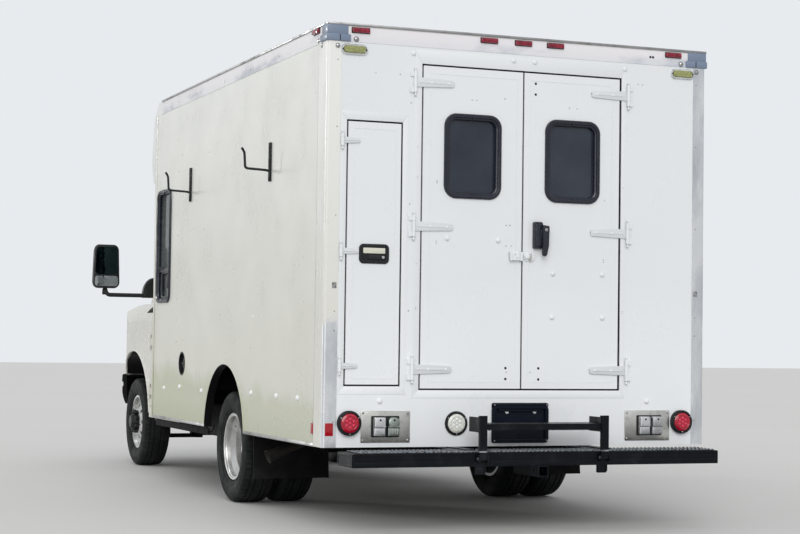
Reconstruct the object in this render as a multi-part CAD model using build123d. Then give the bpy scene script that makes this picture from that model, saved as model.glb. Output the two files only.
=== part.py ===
from build123d import *
import math
import os

# Millimetres. X is the vehicle's left, -Y its front, Z up, the ground at z = 0.

# Overall sizes
HALF_LENGTH = 3362
REAR_OVERHANG = 340          # rear wall to the rearmost point
BOX_LENGTH = 3981
HALF_WIDTH = 1220
ROOF_TOP = 2863
SKIRT_Z = 475
REAR_AXLE_AHEAD = 1994       # rear wall to rear axle
WHEELBASE = 3530

# Gaps
BOX_SEAM = 10                # round the box doors
CAB_SEAM = 8                 # round the cab doors and the hood
SEAT = 0.3                   # between fixed pieces that nest
RUN = 0.05                   # radial, pins and shafts

# Box body panels
WALL = 50
ROOF = 40
ROOF_CROWN = 14
FLOOR = 60
FLOOR_TOP = 780
RAIL_DEPTH = 98              # height of the top rails
POST_SIDE = 149              # corner post, length along the side
POST_REAR = 80               # corner post, width on the rear
POST_PROUD = 3
POST_FILLET = 16
ARCH_R = 466
ARCH_Z = 440
HOUSING_TOP = 920
HOUSING_HALF_Y = 470
HOUSING_CLEAR = 40           # inner tyre to the housing's inner face
HOUSING_T = 15
LINER_DEPTH = 420            # small compartment
LINER_T = 15
AISLE = ((-560, 600), (-640, 2900))  # raised wear plate on the floor, x and y
AISLE_RISE = 4
WEB_GAP = 2                  # between the floor's corner and the post's web
FRONT_CORNER_R = 30
PASS_HALF = 700              # opening between cab and box
PASS_TOP = 1900

# Front cap sections: below the roof top, y of the front at the side, y of the front in the middle
CAP_SECTIONS = (
    (600, -1020, -1330),
    (433, -1075, -1420),
    (183, -1035, -1370),
    (RAIL_DEPTH, -995, -1300),
    (0, -890, -1120),
)
CAP_T = 20
CAP_SEAM_AHEAD = 170         # box front to the rear edge of the cap on the roof

# Chassis
FRAME_X = 430                # centre of each side rail
FRAME_W = 60
FRAME_BOTTOM = 480
FRAME_TOP = 640
FRAME_T = 8
FRAME_FRONT = -3080
FRAME_REAR = 2960
CROSS_Z = (500, 600)
CROSS_Y = (-2950, -2502, -1250, -500, 480, 1750, 2600)
SILL_W = 60
SILL_Y = (-830, -250, 330, 1680, 2250, 2850)
SPRING_X = (515, 585)
SPRING_HALF = 640
SPRING_END_TOP = 500
SPRING_SAG = 72
LEAF = 12
LEAF_SHARES = (1.0, 0.72, 0.45)
AXLE_R = 48
DIFF_R = 140
DIFF_NOSE = 250
GEARBOX_REAR = -1310
EXHAUST_X = 250
EXHAUST_Z = 446
EXHAUST_R = 27
MUFFLER_R = 88
MUFFLER_DROP = 36
TAIL_BEHIND_AXLE = 794
TANK_Y = (-1000, -100)
TANK_Z = (345, 615)
TANK_W = 380

# Front suspension and steering
SUSPENSION_IN = 462
ARM_TOP = 486
ARM_BOTTOM = 262
ARM_T = 32
ARM_HALF = 34
KING_X = 700
KING_R = 15
SPINDLE_R = 30

# Wheels
TYRE_R = 366
TYRE_W = 225
RIM_SEAT_R = 205
RIM_FLANGE_R = 221
RIM_W = 178
RIM_T = 7
RIM_WELL = 30
TWIN_GAP = 40                # between the two tyres of a side
REAR_TYRE_OUT = 1170
FRONT_TYRE_OUT = 980
HAND_HOLES = 8
HAND_HOLE_R = 15
# Half of a tyre's section: share of the half width, radius
TYRE_SECTION = (
    (0.62, RIM_SEAT_R + SEAT), (0.70, RIM_SEAT_R + SEAT), (0.70, RIM_FLANGE_R + 3), (0.84, RIM_FLANGE_R + 7),
    (0.98, 268), (1.0, 298), (0.95, 330), (0.80, 356), (0.60, 363), (0.0, TYRE_R))

# Cab
CAB_HALF = 1000
CAB_BOTTOM = 430
BELT_Z = 1388
CAB_TOP = 2063
CAB_T = 40
CAB_DOOR_T = 60
DOOR_FRONT = -1890
DOOR_REAR = -1010
DOOR_BOTTOM = 520
DOOR_TOP = 1950
CAB_FLOOR_TOP = 700
CAB_FLOOR_T = 40
FIREWALL_Y = -1975
NOSE_FRONT = -3290
NOSE_SIDE_END = -2560        # where the sides start to curve in
NOSE_CORNER = 190
COWL_Y = -2350
HOOD_HALF = 790
HOOD_T = 18
FRONT_ARCH_R = 580
FRONT_ARCH_Z = 385
GRILLE_T = 30
GRILLE_REAR = -3236          # where the nose panel meets the fenders
BUMPER_Z = (497, 755)
PANE_T = 6
# Greenhouse sections: height, half width, y of the front at the side, y of the front in the middle
GREENHOUSE = (
    (1250, 972, -2190, -2480),
    (1340, 960, -2130, -2400),
    (1930, 858, -1600, -1790),
    (2030, 800, -1480, -1640),
    (CAB_TOP, 690, -1380, -1520),
)
# Windshield opening seen from the front, x and z
WINDSHIELD = ((-860, 1470), (860, 1470), (730, 1890), (-730, 1890))
HEADLAMP = ((560, 800), (900, 1075))
GRILLE = ((-520, 520), (820, 1075))
GRILLE_BARS = 4

# Openings of the rear wall, each low x, high x, low z, high z
REAR_SILL = 18               # above the floor
REAR_LINTEL = 192            # opening's top to the roof top
REAR_OPENING = (-649, 645, FLOOR_TOP + REAR_SILL, ROOF_TOP - REAR_LINTEL)
BOX_SILL = 39                # compartment's sill above the floor
BOX_OPENING = (759, 1100, FLOOR_TOP + BOX_SILL, 2325)
DOOR_WINDOW = (160, 487, 1927, 2374)
WINDOW_R = 60
# Openings of the side walls, each low y, high y, low z, high z
SIDE_WINDOW = (-828, -458, 1353, 2167)
ENTRY_LINTEL = 303           # opening's top to the roof top
ENTRY_OPENING = (-780, -80, FLOOR_TOP, ROOF_TOP - ENTRY_LINTEL)
FILLER = (-68, 893)
FILLER_R = 78
FILLER_DEPTH = 40

# Strap hinges: heights, then half heights of the middle and the outer knuckles
REAR_HINGE_Z = (REAR_OPENING[2] + 119, 1735, REAR_OPENING[3] - 108)
BOX_HINGE_Z = (BOX_OPENING[2] + 114, 1580, BOX_OPENING[3] - 118)
ENTRY_HINGE_Z = (FLOOR_TOP + 220, 1650, ENTRY_OPENING[3] - 210)
REAR_KNUCKLES = (60, 30)
BOX_KNUCKLES = (32, 16)
CAB_HINGE_Z = (640, 1040)
CAB_HINGE = (1012, -1894)    # x, y of the left cab door's pins
HOOD_HINGE = (-2354, 1402)   # y, z of the hood's pins
HOOD_HINGE_X = 560
HOOD_KNUCKLES = (40, 20)
HINGE_X = 690
BOX_HINGE_X = 1128
STRAP_END_X = 445
BOX_STRAP_END_X = 1020
BARREL_R = 11
HINGE_PIN_R = 5
STRAP = (2, 7)               # how far the strap's faces stand off the panel
STRAP_TIP = 0.45             # height of a strap's tip, as a share of its root
REAR_DOOR_T = 50
BOX_DOOR_T = 32

# Rear bumper, receiver and step
BUMPER_HALF = 1145
REAR_BUMPER_Z = (381, 457)
BUMPER_OUT = 303             # behind the rear wall
BUMPER_DEPTH = 250
PLATE_HOLES = (89, 672)      # half spacing, height
PLATE_HOLE_R = 3.5
RECEIVER_HALF = 32
RECEIVER_BORE_HALF = 25.5
RECEIVER_PIN = (64, 8)       # hole ahead of the mouth, radius
STEP_X = 382                 # centre of each arm
STEP_ARM_HALF = 22
STEP_ARM_T = 24
STEP_PIVOT_Z = 425
STEP_PIVOT_BACK = 20         # pivot behind the bumper's face
STEP_PIN_R = 8
STEP_TOP = 665
TREAD_Z = (586, 619)
TREAD_PLATE_Z = (570, 654)
TREAD_DEPTH = 180

# Fittings
HOOK_Y = (1987, 108)
HOOK_Z = (2045, 2285)
HOOK_ARM_Z = 2118
HOOK_REACH = 173
TAIL_LAMP = (1066, 612)
TAIL_LAMP_R = 70
MIRROR_Y = -1830
MIRROR_ARM_Z = 1415
MIRROR_HEAD = ((1290, 1510), (-1925, -1835), (1465, 1820))
WHEEL_CENTRE = (430, -1500, 1290)
STEER_AXIS = (0, 0.894427, 0.447214)
STEER_R = 190
STEER_GRIP_R = 14
SEAT_X = 430
SEAT_HALF = 250
BENCH_TOP = 1180
CABINET_DROP = 163           # cabinet's top to the roof top

# Worked out from the above
REAR_Y = HALF_LENGTH - REAR_OVERHANG
BOX_FRONT = REAR_Y - BOX_LENGTH
REAR_AXLE = REAR_Y - REAR_AXLE_AHEAD
FRONT_AXLE = REAR_AXLE - WHEELBASE
WALL_TOP = ROOF_TOP - RAIL_DEPTH
INNER = HALF_WIDTH - WALL
HINGE_Y = REAR_Y + BARREL_R + 1
ENTRY_HINGE = (-HALF_WIDTH - BARREL_R - 1, ENTRY_OPENING[0] - 14)
TWIN_PITCH = TYRE_W + TWIN_GAP
REAR_TYRE_X = REAR_TYRE_OUT - TYRE_W / 2
FRONT_TYRE_X = FRONT_TYRE_OUT - TYRE_W / 2
TWIN_MID_X = REAR_TYRE_X - TWIN_PITCH / 2
HOUSING_IN_X = REAR_TYRE_X - TWIN_PITCH - TYRE_W / 2 - HOUSING_CLEAR
BUMPER_REAR = REAR_Y + BUMPER_OUT
STEP_PIVOT_Y = BUMPER_REAR + STEP_PIVOT_BACK
CAP_SEAM_Y = BOX_FRONT + CAP_SEAM_AHEAD
TAIL_Y = REAR_AXLE + TAIL_BEHIND_AXLE
FRAME_OUT = FRAME_X + FRAME_W / 2
CAP_ROWS = [(ROOF_TOP - below, side, middle) for below, side, middle in CAP_SECTIONS]


def block(x, y, z):
    """A box from three (low, high) pairs, in either order."""
    pairs = [sorted(pair) for pair in (x, y, z)]
    middle = [(low + high) / 2 for low, high in pairs]
    return Pos(*middle) * Box(*[high - low for low, high in pairs])


def rod(start, direction, length, radius):
    """A cylinder from start along direction."""
    return Plane(origin=start, z_dir=direction) * Cylinder(
        radius, length, align=(Align.CENTER, Align.CENTER, Align.MIN))


def tube(start, direction, length, outer, inner):
    return rod(start, direction, length, outer) - rod(start, direction, length, inner)


def other_side(shape):
    return mirror(shape, about=Plane.YZ)


def both_sides(shape):
    return list(shape.solids()) + list(other_side(shape).solids())


def rounded_along_y(x, z, radius, y):
    """A rounded rectangle in x and z, pushed from y low to y high."""
    middle = ((x[0] + x[1]) / 2, y[0], (z[0] + z[1]) / 2)
    plane = Plane(origin=middle, x_dir=(1, 0, 0), z_dir=(0, 1, 0))
    return extrude(plane * RectangleRounded(x[1] - x[0], z[1] - z[0], radius), amount=y[1] - y[0])


def rounded_along_x(y, z, radius, x):
    middle = (x[0], (y[0] + y[1]) / 2, (z[0] + z[1]) / 2)
    plane = Plane(origin=middle, x_dir=(0, 1, 0), z_dir=(1, 0, 0))
    return extrude(plane * RectangleRounded(y[1] - y[0], z[1] - z[0], radius), amount=x[1] - x[0])


def side_prism(points, x_low, x_high):
    """A closed outline of (y, z) points, pushed along x."""
    outline = Polyline(*[(x_low, y, z) for y, z in points], close=True)
    return extrude(make_face(outline), amount=x_high - x_low, dir=(1, 0, 0))


def front_prism(points, y_low, y_high):
    """A closed outline of (x, z) points, pushed along y."""
    outline = Polyline(*[(x, y_low, z) for x, z in points], close=True)
    return extrude(make_face(outline), amount=y_high - y_low, dir=(0, 1, 0))


def plan_prism(points, z_low, z_high):
    """A closed outline of (x, y) points, pushed along z."""
    outline = Polyline(*[(x, y, z_low) for x, y in points], close=True)
    return extrude(make_face(outline), amount=z_high - z_low, dir=(0, 0, 1))


def spun(points, x_start=0.0):
    """A closed outline of (x, radius) points turned about the X axis."""
    outline = Polyline(*[(x_start + x, 0, r) for x, r in points], close=True)
    return revolve(make_face(outline), Axis.X)


def stacked(sections):
    """Straight lofts between each section and the next, as one solid."""
    body = loft(sections[:2], ruled=True)
    for low in range(1, len(sections) - 1):
        body += loft(sections[low:low + 2], ruled=True)
    return body


# Chassis

def chassis_frame():
    rail = block((FRAME_X - FRAME_W / 2, FRAME_OUT), (FRAME_FRONT, FRAME_REAR), (FRAME_BOTTOM, FRAME_TOP))
    rail -= block((FRAME_X - FRAME_W / 2 - 1, FRAME_OUT - FRAME_T), (FRAME_FRONT - 1, FRAME_REAR + 1),
                  (FRAME_BOTTOM + FRAME_T, FRAME_TOP - FRAME_T))
    frame = rail + other_side(rail)
    reach = FRAME_OUT - FRAME_T / 2
    for y in CROSS_Y:
        frame += block((-reach, reach), (y - 40, y + 40), CROSS_Z)
    # Hangers over the ends of the springs
    for side in (-1, 1):
        for y in (REAR_AXLE - SPRING_HALF, REAR_AXLE + SPRING_HALF):
            frame += block((side * (FRAME_OUT - FRAME_T / 2), side * SPRING_X[1]), (y - 45, y + 45),
                           (SPRING_END_TOP + SEAT, FRAME_BOTTOM + 70))
    return frame


def leaf_spring():
    """Three curved leaves, the longest on top."""
    spring = None
    for count, share in enumerate(LEAF_SHARES):
        half = SPRING_HALF * share
        rise = SPRING_SAG * share * share
        low = SPRING_END_TOP - SPRING_SAG - LEAF * (count + 1)
        x = SPRING_X[0]
        ends = (REAR_AXLE - half, REAR_AXLE + half)
        bottom = ThreePointArc((x, ends[0], low + rise), (x, REAR_AXLE, low), (x, ends[1], low + rise))
        high = low + LEAF
        top = ThreePointArc((x, ends[1], high + rise), (x, REAR_AXLE, high), (x, ends[0], high + rise))
        outline = [bottom, Line(bottom @ 1, top @ 0), top, Line(top @ 1, bottom @ 0)]
        leaf = extrude(make_face(outline), amount=SPRING_X[1] - x, dir=(1, 0, 0))
        spring = leaf if spring is None else spring + leaf
    return spring


def rear_axle():
    """Axle tube with its differential, spring seats and both leaf springs."""
    axle = rod((-640, REAR_AXLE, TYRE_R), (1, 0, 0), 1280, AXLE_R)
    axle += Pos(0, REAR_AXLE, TYRE_R) * Sphere(DIFF_R)
    axle += rod((0, REAR_AXLE - DIFF_NOSE, TYRE_R), (0, 1, 0), DIFF_NOSE, 62)
    spring = leaf_spring()
    seat_top = SPRING_END_TOP - SPRING_SAG - len(LEAF_SHARES) * LEAF + 1
    for side in (-1, 1):
        axle += rod((side * 639, REAR_AXLE, TYRE_R), (side, 0, 0), TWIN_MID_X + 60 - 639, SPINDLE_R)
        axle += block([side * x for x in SPRING_X], (REAR_AXLE - 60, REAR_AXLE + 60), (TYRE_R, seat_top))
    return axle + spring + other_side(spring)


def engine_block():
    engine = block((-250, 250), (-2420, FIREWALL_Y - 10), (610, 1130))
    neck = block((-130, 130), (-2100, -1700), (361, 650))
    gearbox = block((-130, 130), (-1986, GEARBOX_REAR), (361, CROSS_Z[0] - SEAT))
    return engine + neck + gearbox


def propshaft():
    front = GEARBOX_REAR + SEAT
    rear = REAR_AXLE - DIFF_NOSE - SEAT
    shaft = rod((0, front, TYRE_R + 20), (0, 1, 0), rear - front, 38)
    for y in (front, rear - 60):
        shaft += rod((0, y, TYRE_R + 20), (0, 1, 0), 60, 52)
    return shaft


def exhaust():
    """Pipe from the engine, muffler, and a tail pipe that turns out behind the left rear wheels."""
    corners = [(EXHAUST_X, -1900, EXHAUST_Z), (EXHAUST_X, TAIL_Y, EXHAUST_Z), (900, TAIL_Y, EXHAUST_Z),
               (1150, TAIL_Y, EXHAUST_Z - 95)]
    route = FilletPolyline(*corners, radius=120)
    start = Plane(origin=route @ 0, z_dir=route % 0)
    pipe = sweep(start * Circle(EXHAUST_R), path=route)
    pipe += rod((EXHAUST_X, -950, EXHAUST_Z - MUFFLER_DROP), (0, 1, 0), 650, MUFFLER_R)
    pipe -= sweep(start * Circle(EXHAUST_R - 3), path=route)
    for y in (CROSS_Y[2], CROSS_Y[5]):
        pipe += block((EXHAUST_X - 8, EXHAUST_X + 8), (y - 20, y + 20),
                      (EXHAUST_Z + EXHAUST_R - 2, CROSS_Z[0] - SEAT))
    return pipe


def fuel_tank():
    low = FRAME_OUT + SEAT
    tank = block((low, low + TANK_W), TANK_Y, TANK_Z)
    return fillet(tank.edges().filter_by(Axis.Y), 40)


# Front suspension and steering

def front_crossmember():
    """Beam under the rails with an upper and a lower arm on each side."""
    beam = block((-SUSPENSION_IN, SUSPENSION_IN), (FRONT_AXLE - 90, FRONT_AXLE + 90), (250, 340))
    for side in (-1, 1):
        beam += block((side * (SUSPENSION_IN - 60), side * SUSPENSION_IN), (FRONT_AXLE - 60, FRONT_AXLE + 60),
                      (ARM_BOTTOM - ARM_T, FRAME_BOTTOM - SEAT))
        beam += block((side * (SUSPENSION_IN - 1), side * (SUSPENSION_IN + 30)),
                      (FRONT_AXLE - ARM_HALF, FRONT_AXLE + ARM_HALF), (ARM_BOTTOM - ARM_T, FRAME_BOTTOM))
        beam += block((side * (FRAME_OUT + 1), side * (SUSPENSION_IN + 30)),
                      (FRONT_AXLE - ARM_HALF, FRONT_AXLE + ARM_HALF), (FRAME_BOTTOM - 1, ARM_TOP + ARM_T))
        for low in (ARM_BOTTOM - ARM_T, ARM_TOP):
            beam += block((side * SUSPENSION_IN, side * KING_X), (FRONT_AXLE - ARM_HALF, FRONT_AXLE + ARM_HALF),
                          (low, low + ARM_T))
            beam += rod((side * KING_X, FRONT_AXLE, low), (0, 0, 1), ARM_T, ARM_HALF)
        for low in (ARM_BOTTOM - ARM_T - 1, ARM_TOP - 1):
            beam -= rod((side * KING_X, FRONT_AXLE, low), (0, 0, 1), ARM_T + 2, KING_R + RUN)
    return beam


def knuckle():
    between = ARM_TOP - ARM_BOTTOM
    post = rod((KING_X, FRONT_AXLE, ARM_BOTTOM + SEAT), (0, 0, 1), between - 2 * SEAT, 30)
    post += rod((KING_X, FRONT_AXLE, ARM_BOTTOM - ARM_T + 2), (0, 0, 1), between + 2 * ARM_T - 4, KING_R)
    post += rod((KING_X, FRONT_AXLE, TYRE_R), (1, 0, 0), FRONT_TYRE_OUT - 30 - KING_X, SPINDLE_R)
    return post + rod((KING_X + 34, FRONT_AXLE, TYRE_R), (1, 0, 0), 22, 130)


# Wheels, turned about their axle

def tyre(x):
    half = TYRE_W / 2
    outline = [(share * half, r) for share, r in TYRE_SECTION]
    outline += [(-share * half, r) for share, r in reversed(TYRE_SECTION[:-1])]
    return spun(outline, x)


def rear_tyres():
    return [Pos(0, REAR_AXLE, TYRE_R) * tyre(x) for x in (REAR_TYRE_X, REAR_TYRE_X - TWIN_PITCH)]


def rim_barrel(x):
    """Drop-centre barrel with a flange at each edge, centred on x."""
    half = RIM_W / 2
    flange = 9
    seat = half - 39
    well = seat - RIM_WELL
    inner = RIM_SEAT_R - RIM_T
    right = [(well, RIM_SEAT_R - RIM_WELL), (seat, RIM_SEAT_R), (half - flange, RIM_SEAT_R),
             (half - flange, RIM_FLANGE_R), (half, RIM_FLANGE_R), (half, inner + 6), (seat + 4, inner),
             (well + 4, inner - RIM_WELL)]
    left = [(-x_mirror, r) for x_mirror, r in reversed(right)]
    return spun(right + left, x)


def hand_holes(x_low, x_high, ring):
    holes = []
    for step in range(HAND_HOLES):
        angle = 2 * math.pi * step / HAND_HOLES
        start = (x_low, ring * math.sin(angle), ring * math.cos(angle))
        holes.append(rod(start, (1, 0, 0), x_high - x_low, HAND_HOLE_R))
    return holes


def front_rim():
    """Disc near the outer edge, bulging out to the hub."""
    face = FRONT_TYRE_X + 62
    wheel = rim_barrel(FRONT_TYRE_X)
    wheel += spun([(-34, 184), (-24, 192), (0, 150), (32, 104), (32, 20), (24, 20), (24, 100), (-10, 146)],
                  face)
    wheel += spun([(-100, 0), (-100, 60), (-30, 66), (24, 66), (60, 62), (78, 58), (90, 44), (90, 0)], face)
    wheel -= rod((KING_X, 0, 0), (1, 0, 0), FRONT_TYRE_OUT - 30 - KING_X + SEAT, SPINDLE_R + RUN)
    for hole in hand_holes(face - 60, face + 40, 128):
        wheel -= hole
    return Pos(0, FRONT_AXLE, TYRE_R) * wheel


def rear_rims():
    """Two barrels whose discs meet on one hub, half way between the tyres."""
    wheel = rim_barrel(REAR_TYRE_X) + rim_barrel(REAR_TYRE_X - TWIN_PITCH)
    for way in (-1, 1):
        wheel += spun([(0, 60), (way * 10, 60), (way * 12, 118), (way * 95, 158), (way * 118, 168),
                       (way * 118, 173), (way * 90, 172), (0, 130)], TWIN_MID_X)
    wheel += spun([(-90, 0), (-90, 78), (20, 78), (70, 66), (120, 62), (132, 50), (132, 0)], TWIN_MID_X)
    wheel -= rod((TWIN_MID_X - 100, 0, 0), (1, 0, 0), 160 + SEAT, SPINDLE_R + RUN)
    for hole in hand_holes(TWIN_MID_X - 60, TWIN_MID_X + 60, 128):
        wheel -= hole
    return Pos(0, REAR_AXLE, TYRE_R) * wheel


# Box body

def wheel_space():
    return block((HOUSING_IN_X, INNER + 1), (REAR_AXLE - HOUSING_HALF_Y, REAR_AXLE + HOUSING_HALF_Y),
                 (FLOOR_TOP - FLOOR - 150, HOUSING_TOP))


def housing_outside(gap=0.0):
    """The space that a wheel housing takes inside the box."""
    half = HOUSING_HALF_Y + HOUSING_T + gap
    return block((HOUSING_IN_X - HOUSING_T - gap, INNER - SEAT + gap), (REAR_AXLE - half, REAR_AXLE + half),
                 (FLOOR_TOP - FLOOR, HOUSING_TOP + HOUSING_T + gap))


def body_floor():
    """Floor on cross sills, with the wheel housings and the wear plate of the aisle."""
    low = FLOOR_TOP - FLOOR
    half = INNER - SEAT
    floor = block((-half, half), (BOX_FRONT + WALL + SEAT, REAR_Y - WALL - SEAT), (low, FLOOR_TOP))
    floor += housing_outside() + other_side(housing_outside())
    floor += block(*AISLE, (FLOOR_TOP - 1, FLOOR_TOP + AISLE_RISE))
    corner = plan_prism(post_web(), low - 1, FLOOR_TOP + 1)
    floor -= corner
    floor -= other_side(corner)
    for y in SILL_Y:
        floor += block((-1100, 1100), (y - SILL_W / 2, y + SILL_W / 2), (FRAME_TOP + SEAT, low + 1))
    return floor - wheel_space() - other_side(wheel_space())


def side_wall():
    wall = block((INNER, HALF_WIDTH), (BOX_FRONT + WALL + SEAT, REAR_Y - POST_SIDE), (SKIRT_Z, WALL_TOP))
    return wall - rod((INNER - 1, REAR_AXLE, ARCH_Z), (1, 0, 0), WALL + 2, ARCH_R)


def left_wall():
    wall = side_wall()
    wall -= rounded_along_x(SIDE_WINDOW[:2], SIDE_WINDOW[2:], WINDOW_R, (INNER - 1, HALF_WIDTH + 1))
    return wall - rod((HALF_WIDTH - FILLER_DEPTH, *FILLER), (1, 0, 0), FILLER_DEPTH + 1, FILLER_R)


def side_pane():
    low_y, high_y, low_z, high_z = SIDE_WINDOW
    return rounded_along_x((low_y + SEAT, high_y - SEAT), (low_z + SEAT, high_z - SEAT), WINDOW_R - SEAT,
                           (HALF_WIDTH - 26, HALF_WIDTH - 26 + PANE_T))


def body_knuckles(axis, z, heights, leaf):
    """The two outer knuckles of a hinge, their pin, and a leaf block on each."""
    middle, outer = heights
    low = z - middle / 2 - outer
    pieces = rod((*axis, low), (0, 0, 1), middle + 2 * outer, HINGE_PIN_R)
    for bottom in (low, z + middle / 2):
        pieces += rod((*axis, bottom), (0, 0, 1), outer, BARREL_R)
        pieces += block(*leaf, (bottom, bottom + outer))
    return pieces


def door_knuckle(axis, z, height, strap, pad):
    """The middle knuckle, its strap held off the panel, and the pad that joins it to the door."""
    low, high = z - height / 2 + 0.5, z + height / 2 - 0.5
    piece = rod((*axis, low), (0, 0, 1), high - low, BARREL_R)
    piece += block(*strap, (low, high)) + block(*pad, (low, high))
    return piece - rod((*axis, low - 1), (0, 0, 1), high - low + 2, HINGE_PIN_R + RUN)


def right_wall():
    low_y, high_y, low_z, high_z = ENTRY_OPENING
    wall = other_side(side_wall()) - block((-HALF_WIDTH - 1, -INNER + 1), (low_y, high_y), (low_z, high_z))
    x, y = ENTRY_HINGE
    for z in ENTRY_HINGE_Z:
        wall += body_knuckles((x, y), z, REAR_KNUCKLES, ((x, -HALF_WIDTH + 1), (y - 30, y)))
    return wall


def entry_door():
    low_y, high_y, low_z, high_z = ENTRY_OPENING
    door = block((-HALF_WIDTH, -INNER), (low_y + BOX_SEAM, high_y - BOX_SEAM),
                 (low_z + BOX_SEAM, high_z - BOX_SEAM))
    x, y = ENTRY_HINGE
    near, far = [-HALF_WIDTH - off for off in STRAP]
    for z in ENTRY_HINGE_Z:
        strap = ((near, far), (y, y + 150))
        pad = ((-HALF_WIDTH + 1, near), (low_y + BOX_SEAM + 2, y + 150))
        door += door_knuckle((x, y), z, REAR_KNUCKLES[0], strap, pad)
    return door


def rear_wall():
    """Rear panel with its two openings, the compartment's liner and the hinges' body side."""
    half = HALF_WIDTH - POST_REAR
    wall = block((-half, half), (REAR_Y - WALL, REAR_Y), (SKIRT_Z, WALL_TOP))
    low_x, high_x, low_z, high_z = BOX_OPENING
    back = REAR_Y - WALL - LINER_DEPTH
    wall += block((low_x - 2 * LINER_T, high_x + 2 * LINER_T), (back, REAR_Y - WALL),
                  (low_z - LINER_T, high_z + LINER_T))
    wall -= block((low_x - LINER_T, high_x + LINER_T), (back + LINER_T, REAR_Y - WALL), (low_z, high_z))
    for low_x, high_x, low_z, high_z in (REAR_OPENING, BOX_OPENING):
        wall -= block((low_x, high_x), (REAR_Y - WALL - 1, REAR_Y + 1), (low_z, high_z))
    spread, height = PLATE_HOLES
    for side in (-1, 1):
        wall -= rod((side * spread, REAR_Y - WALL - 1, height), (0, 1, 0), WALL + 2, PLATE_HOLE_R)
    leaf_y = (REAR_Y - 1, HINGE_Y)
    for z in REAR_HINGE_Z:
        for side in (-1, 1):
            x = side * HINGE_X
            wall += body_knuckles((x, HINGE_Y), z, REAR_KNUCKLES, ((x, x + side * 30), leaf_y))
    x = BOX_HINGE_X
    for z in BOX_HINGE_Z:
        wall += body_knuckles((x, HINGE_Y), z, BOX_KNUCKLES, ((x, x - 10), leaf_y))
    return wall


def strap_form(root_x, end_x, z, half, y):
    """A strap that narrows from its knuckle to a rounded tip, pushed from y low to y high."""
    tip = half * STRAP_TIP
    form = front_prism([(root_x, z - half), (root_x, z + half), (end_x, z + tip), (end_x, z - tip)], *y)
    tip_edges = form.edges().filter_by(Axis.Y).sort_by(lambda edge: abs(edge.center().X - end_x))[:2]
    return fillet(tip_edges, tip * 0.8)


def strapped_door(x, z, thickness, hinge_x, strap_end, heights, knuckle_height):
    """A rear-face door with a row of strap hinges at hinge_x."""
    door = block(x, (REAR_Y - thickness, REAR_Y), z)
    near, far = [REAR_Y + off for off in STRAP]
    half = knuckle_height / 2 - 0.5
    over_door = block((strap_end - 1, x[1] - 2), (REAR_Y - 2, far + 1), z)
    for height in heights:
        hinge = rod((hinge_x, HINGE_Y, height - half), (0, 0, 1), 2 * half, BARREL_R)
        hinge += strap_form(hinge_x, strap_end, height, half, (near, far))
        hinge += strap_form(hinge_x, strap_end, height, half, (REAR_Y - 1, near)) & over_door
        door += hinge - rod((hinge_x, HINGE_Y, height - half - 1), (0, 0, 1), 2 * half + 2, HINGE_PIN_R + RUN)
    return door


def rear_door():
    low_z, high_z = REAR_OPENING[2:]
    x = (BOX_SEAM / 2, REAR_OPENING[1] - BOX_SEAM)
    z = (low_z + BOX_SEAM, high_z - BOX_SEAM)
    door = strapped_door(x, z, REAR_DOOR_T, HINGE_X, STRAP_END_X, REAR_HINGE_Z, REAR_KNUCKLES[0])
    return door - rounded_along_y(DOOR_WINDOW[:2], DOOR_WINDOW[2:], WINDOW_R, (REAR_Y - WALL - 1, REAR_Y + 1))


def rear_pane():
    x_low, x_high, z_low, z_high = DOOR_WINDOW
    return rounded_along_y((x_low + SEAT, x_high - SEAT), (z_low + SEAT, z_high - SEAT), WINDOW_R - SEAT,
                           (REAR_Y - 28, REAR_Y - 28 + PANE_T))


def compartment_door():
    low_x, high_x, low_z, high_z = BOX_OPENING
    x = (low_x + BOX_SEAM, high_x - BOX_SEAM)
    z = (low_z + BOX_SEAM, high_z - BOX_SEAM)
    return strapped_door(x, z, BOX_DOOR_T, BOX_HINGE_X, BOX_STRAP_END_X, BOX_HINGE_Z, BOX_KNUCKLES[0])


def post_web():
    """The corner of the load space that a rear post's slanted web cuts off, in plan."""
    ahead = REAR_Y - POST_SIDE - 2 * WEB_GAP
    inboard = HALF_WIDTH - POST_REAR - WEB_GAP
    return [(INNER - 1, ahead), (INNER + 1, ahead), (INNER + 1, REAR_Y), (inboard, REAR_Y),
            (inboard, REAR_Y - WALL)]


def corner_posts():
    """Closed extrusions with a slanted web inside and a rounded corner outside."""
    outer = HALF_WIDTH + POST_PROUD
    rear = REAR_Y + POST_PROUD
    ahead = REAR_Y - POST_SIDE + SEAT
    inboard = HALF_WIDTH - POST_REAR + SEAT
    outline = [(INNER, ahead), (outer, ahead), (outer, rear), (inboard, rear), (inboard, REAR_Y - WALL)]
    post = plan_prism(outline, SKIRT_Z, WALL_TOP)
    corner = post.edges().filter_by(Axis.Z).sort_by(lambda edge: edge.center().X + edge.center().Y)[-1]
    return both_sides(fillet(corner, POST_FILLET))


def top_rails():
    """Rails along both sides and the rear, joined at the rear corners."""
    outer = HALF_WIDTH + 2
    rails = block((-outer, outer), (REAR_Y - WALL, REAR_Y + 2), (WALL_TOP + SEAT, ROOF_TOP))
    z = (WALL_TOP + SEAT, ROOF_TOP)
    for side in (-1, 1):
        rails += block((side * INNER, side * outer), (CAP_SEAM_Y + SEAT, REAR_Y + 2), z)
    return rails


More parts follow.
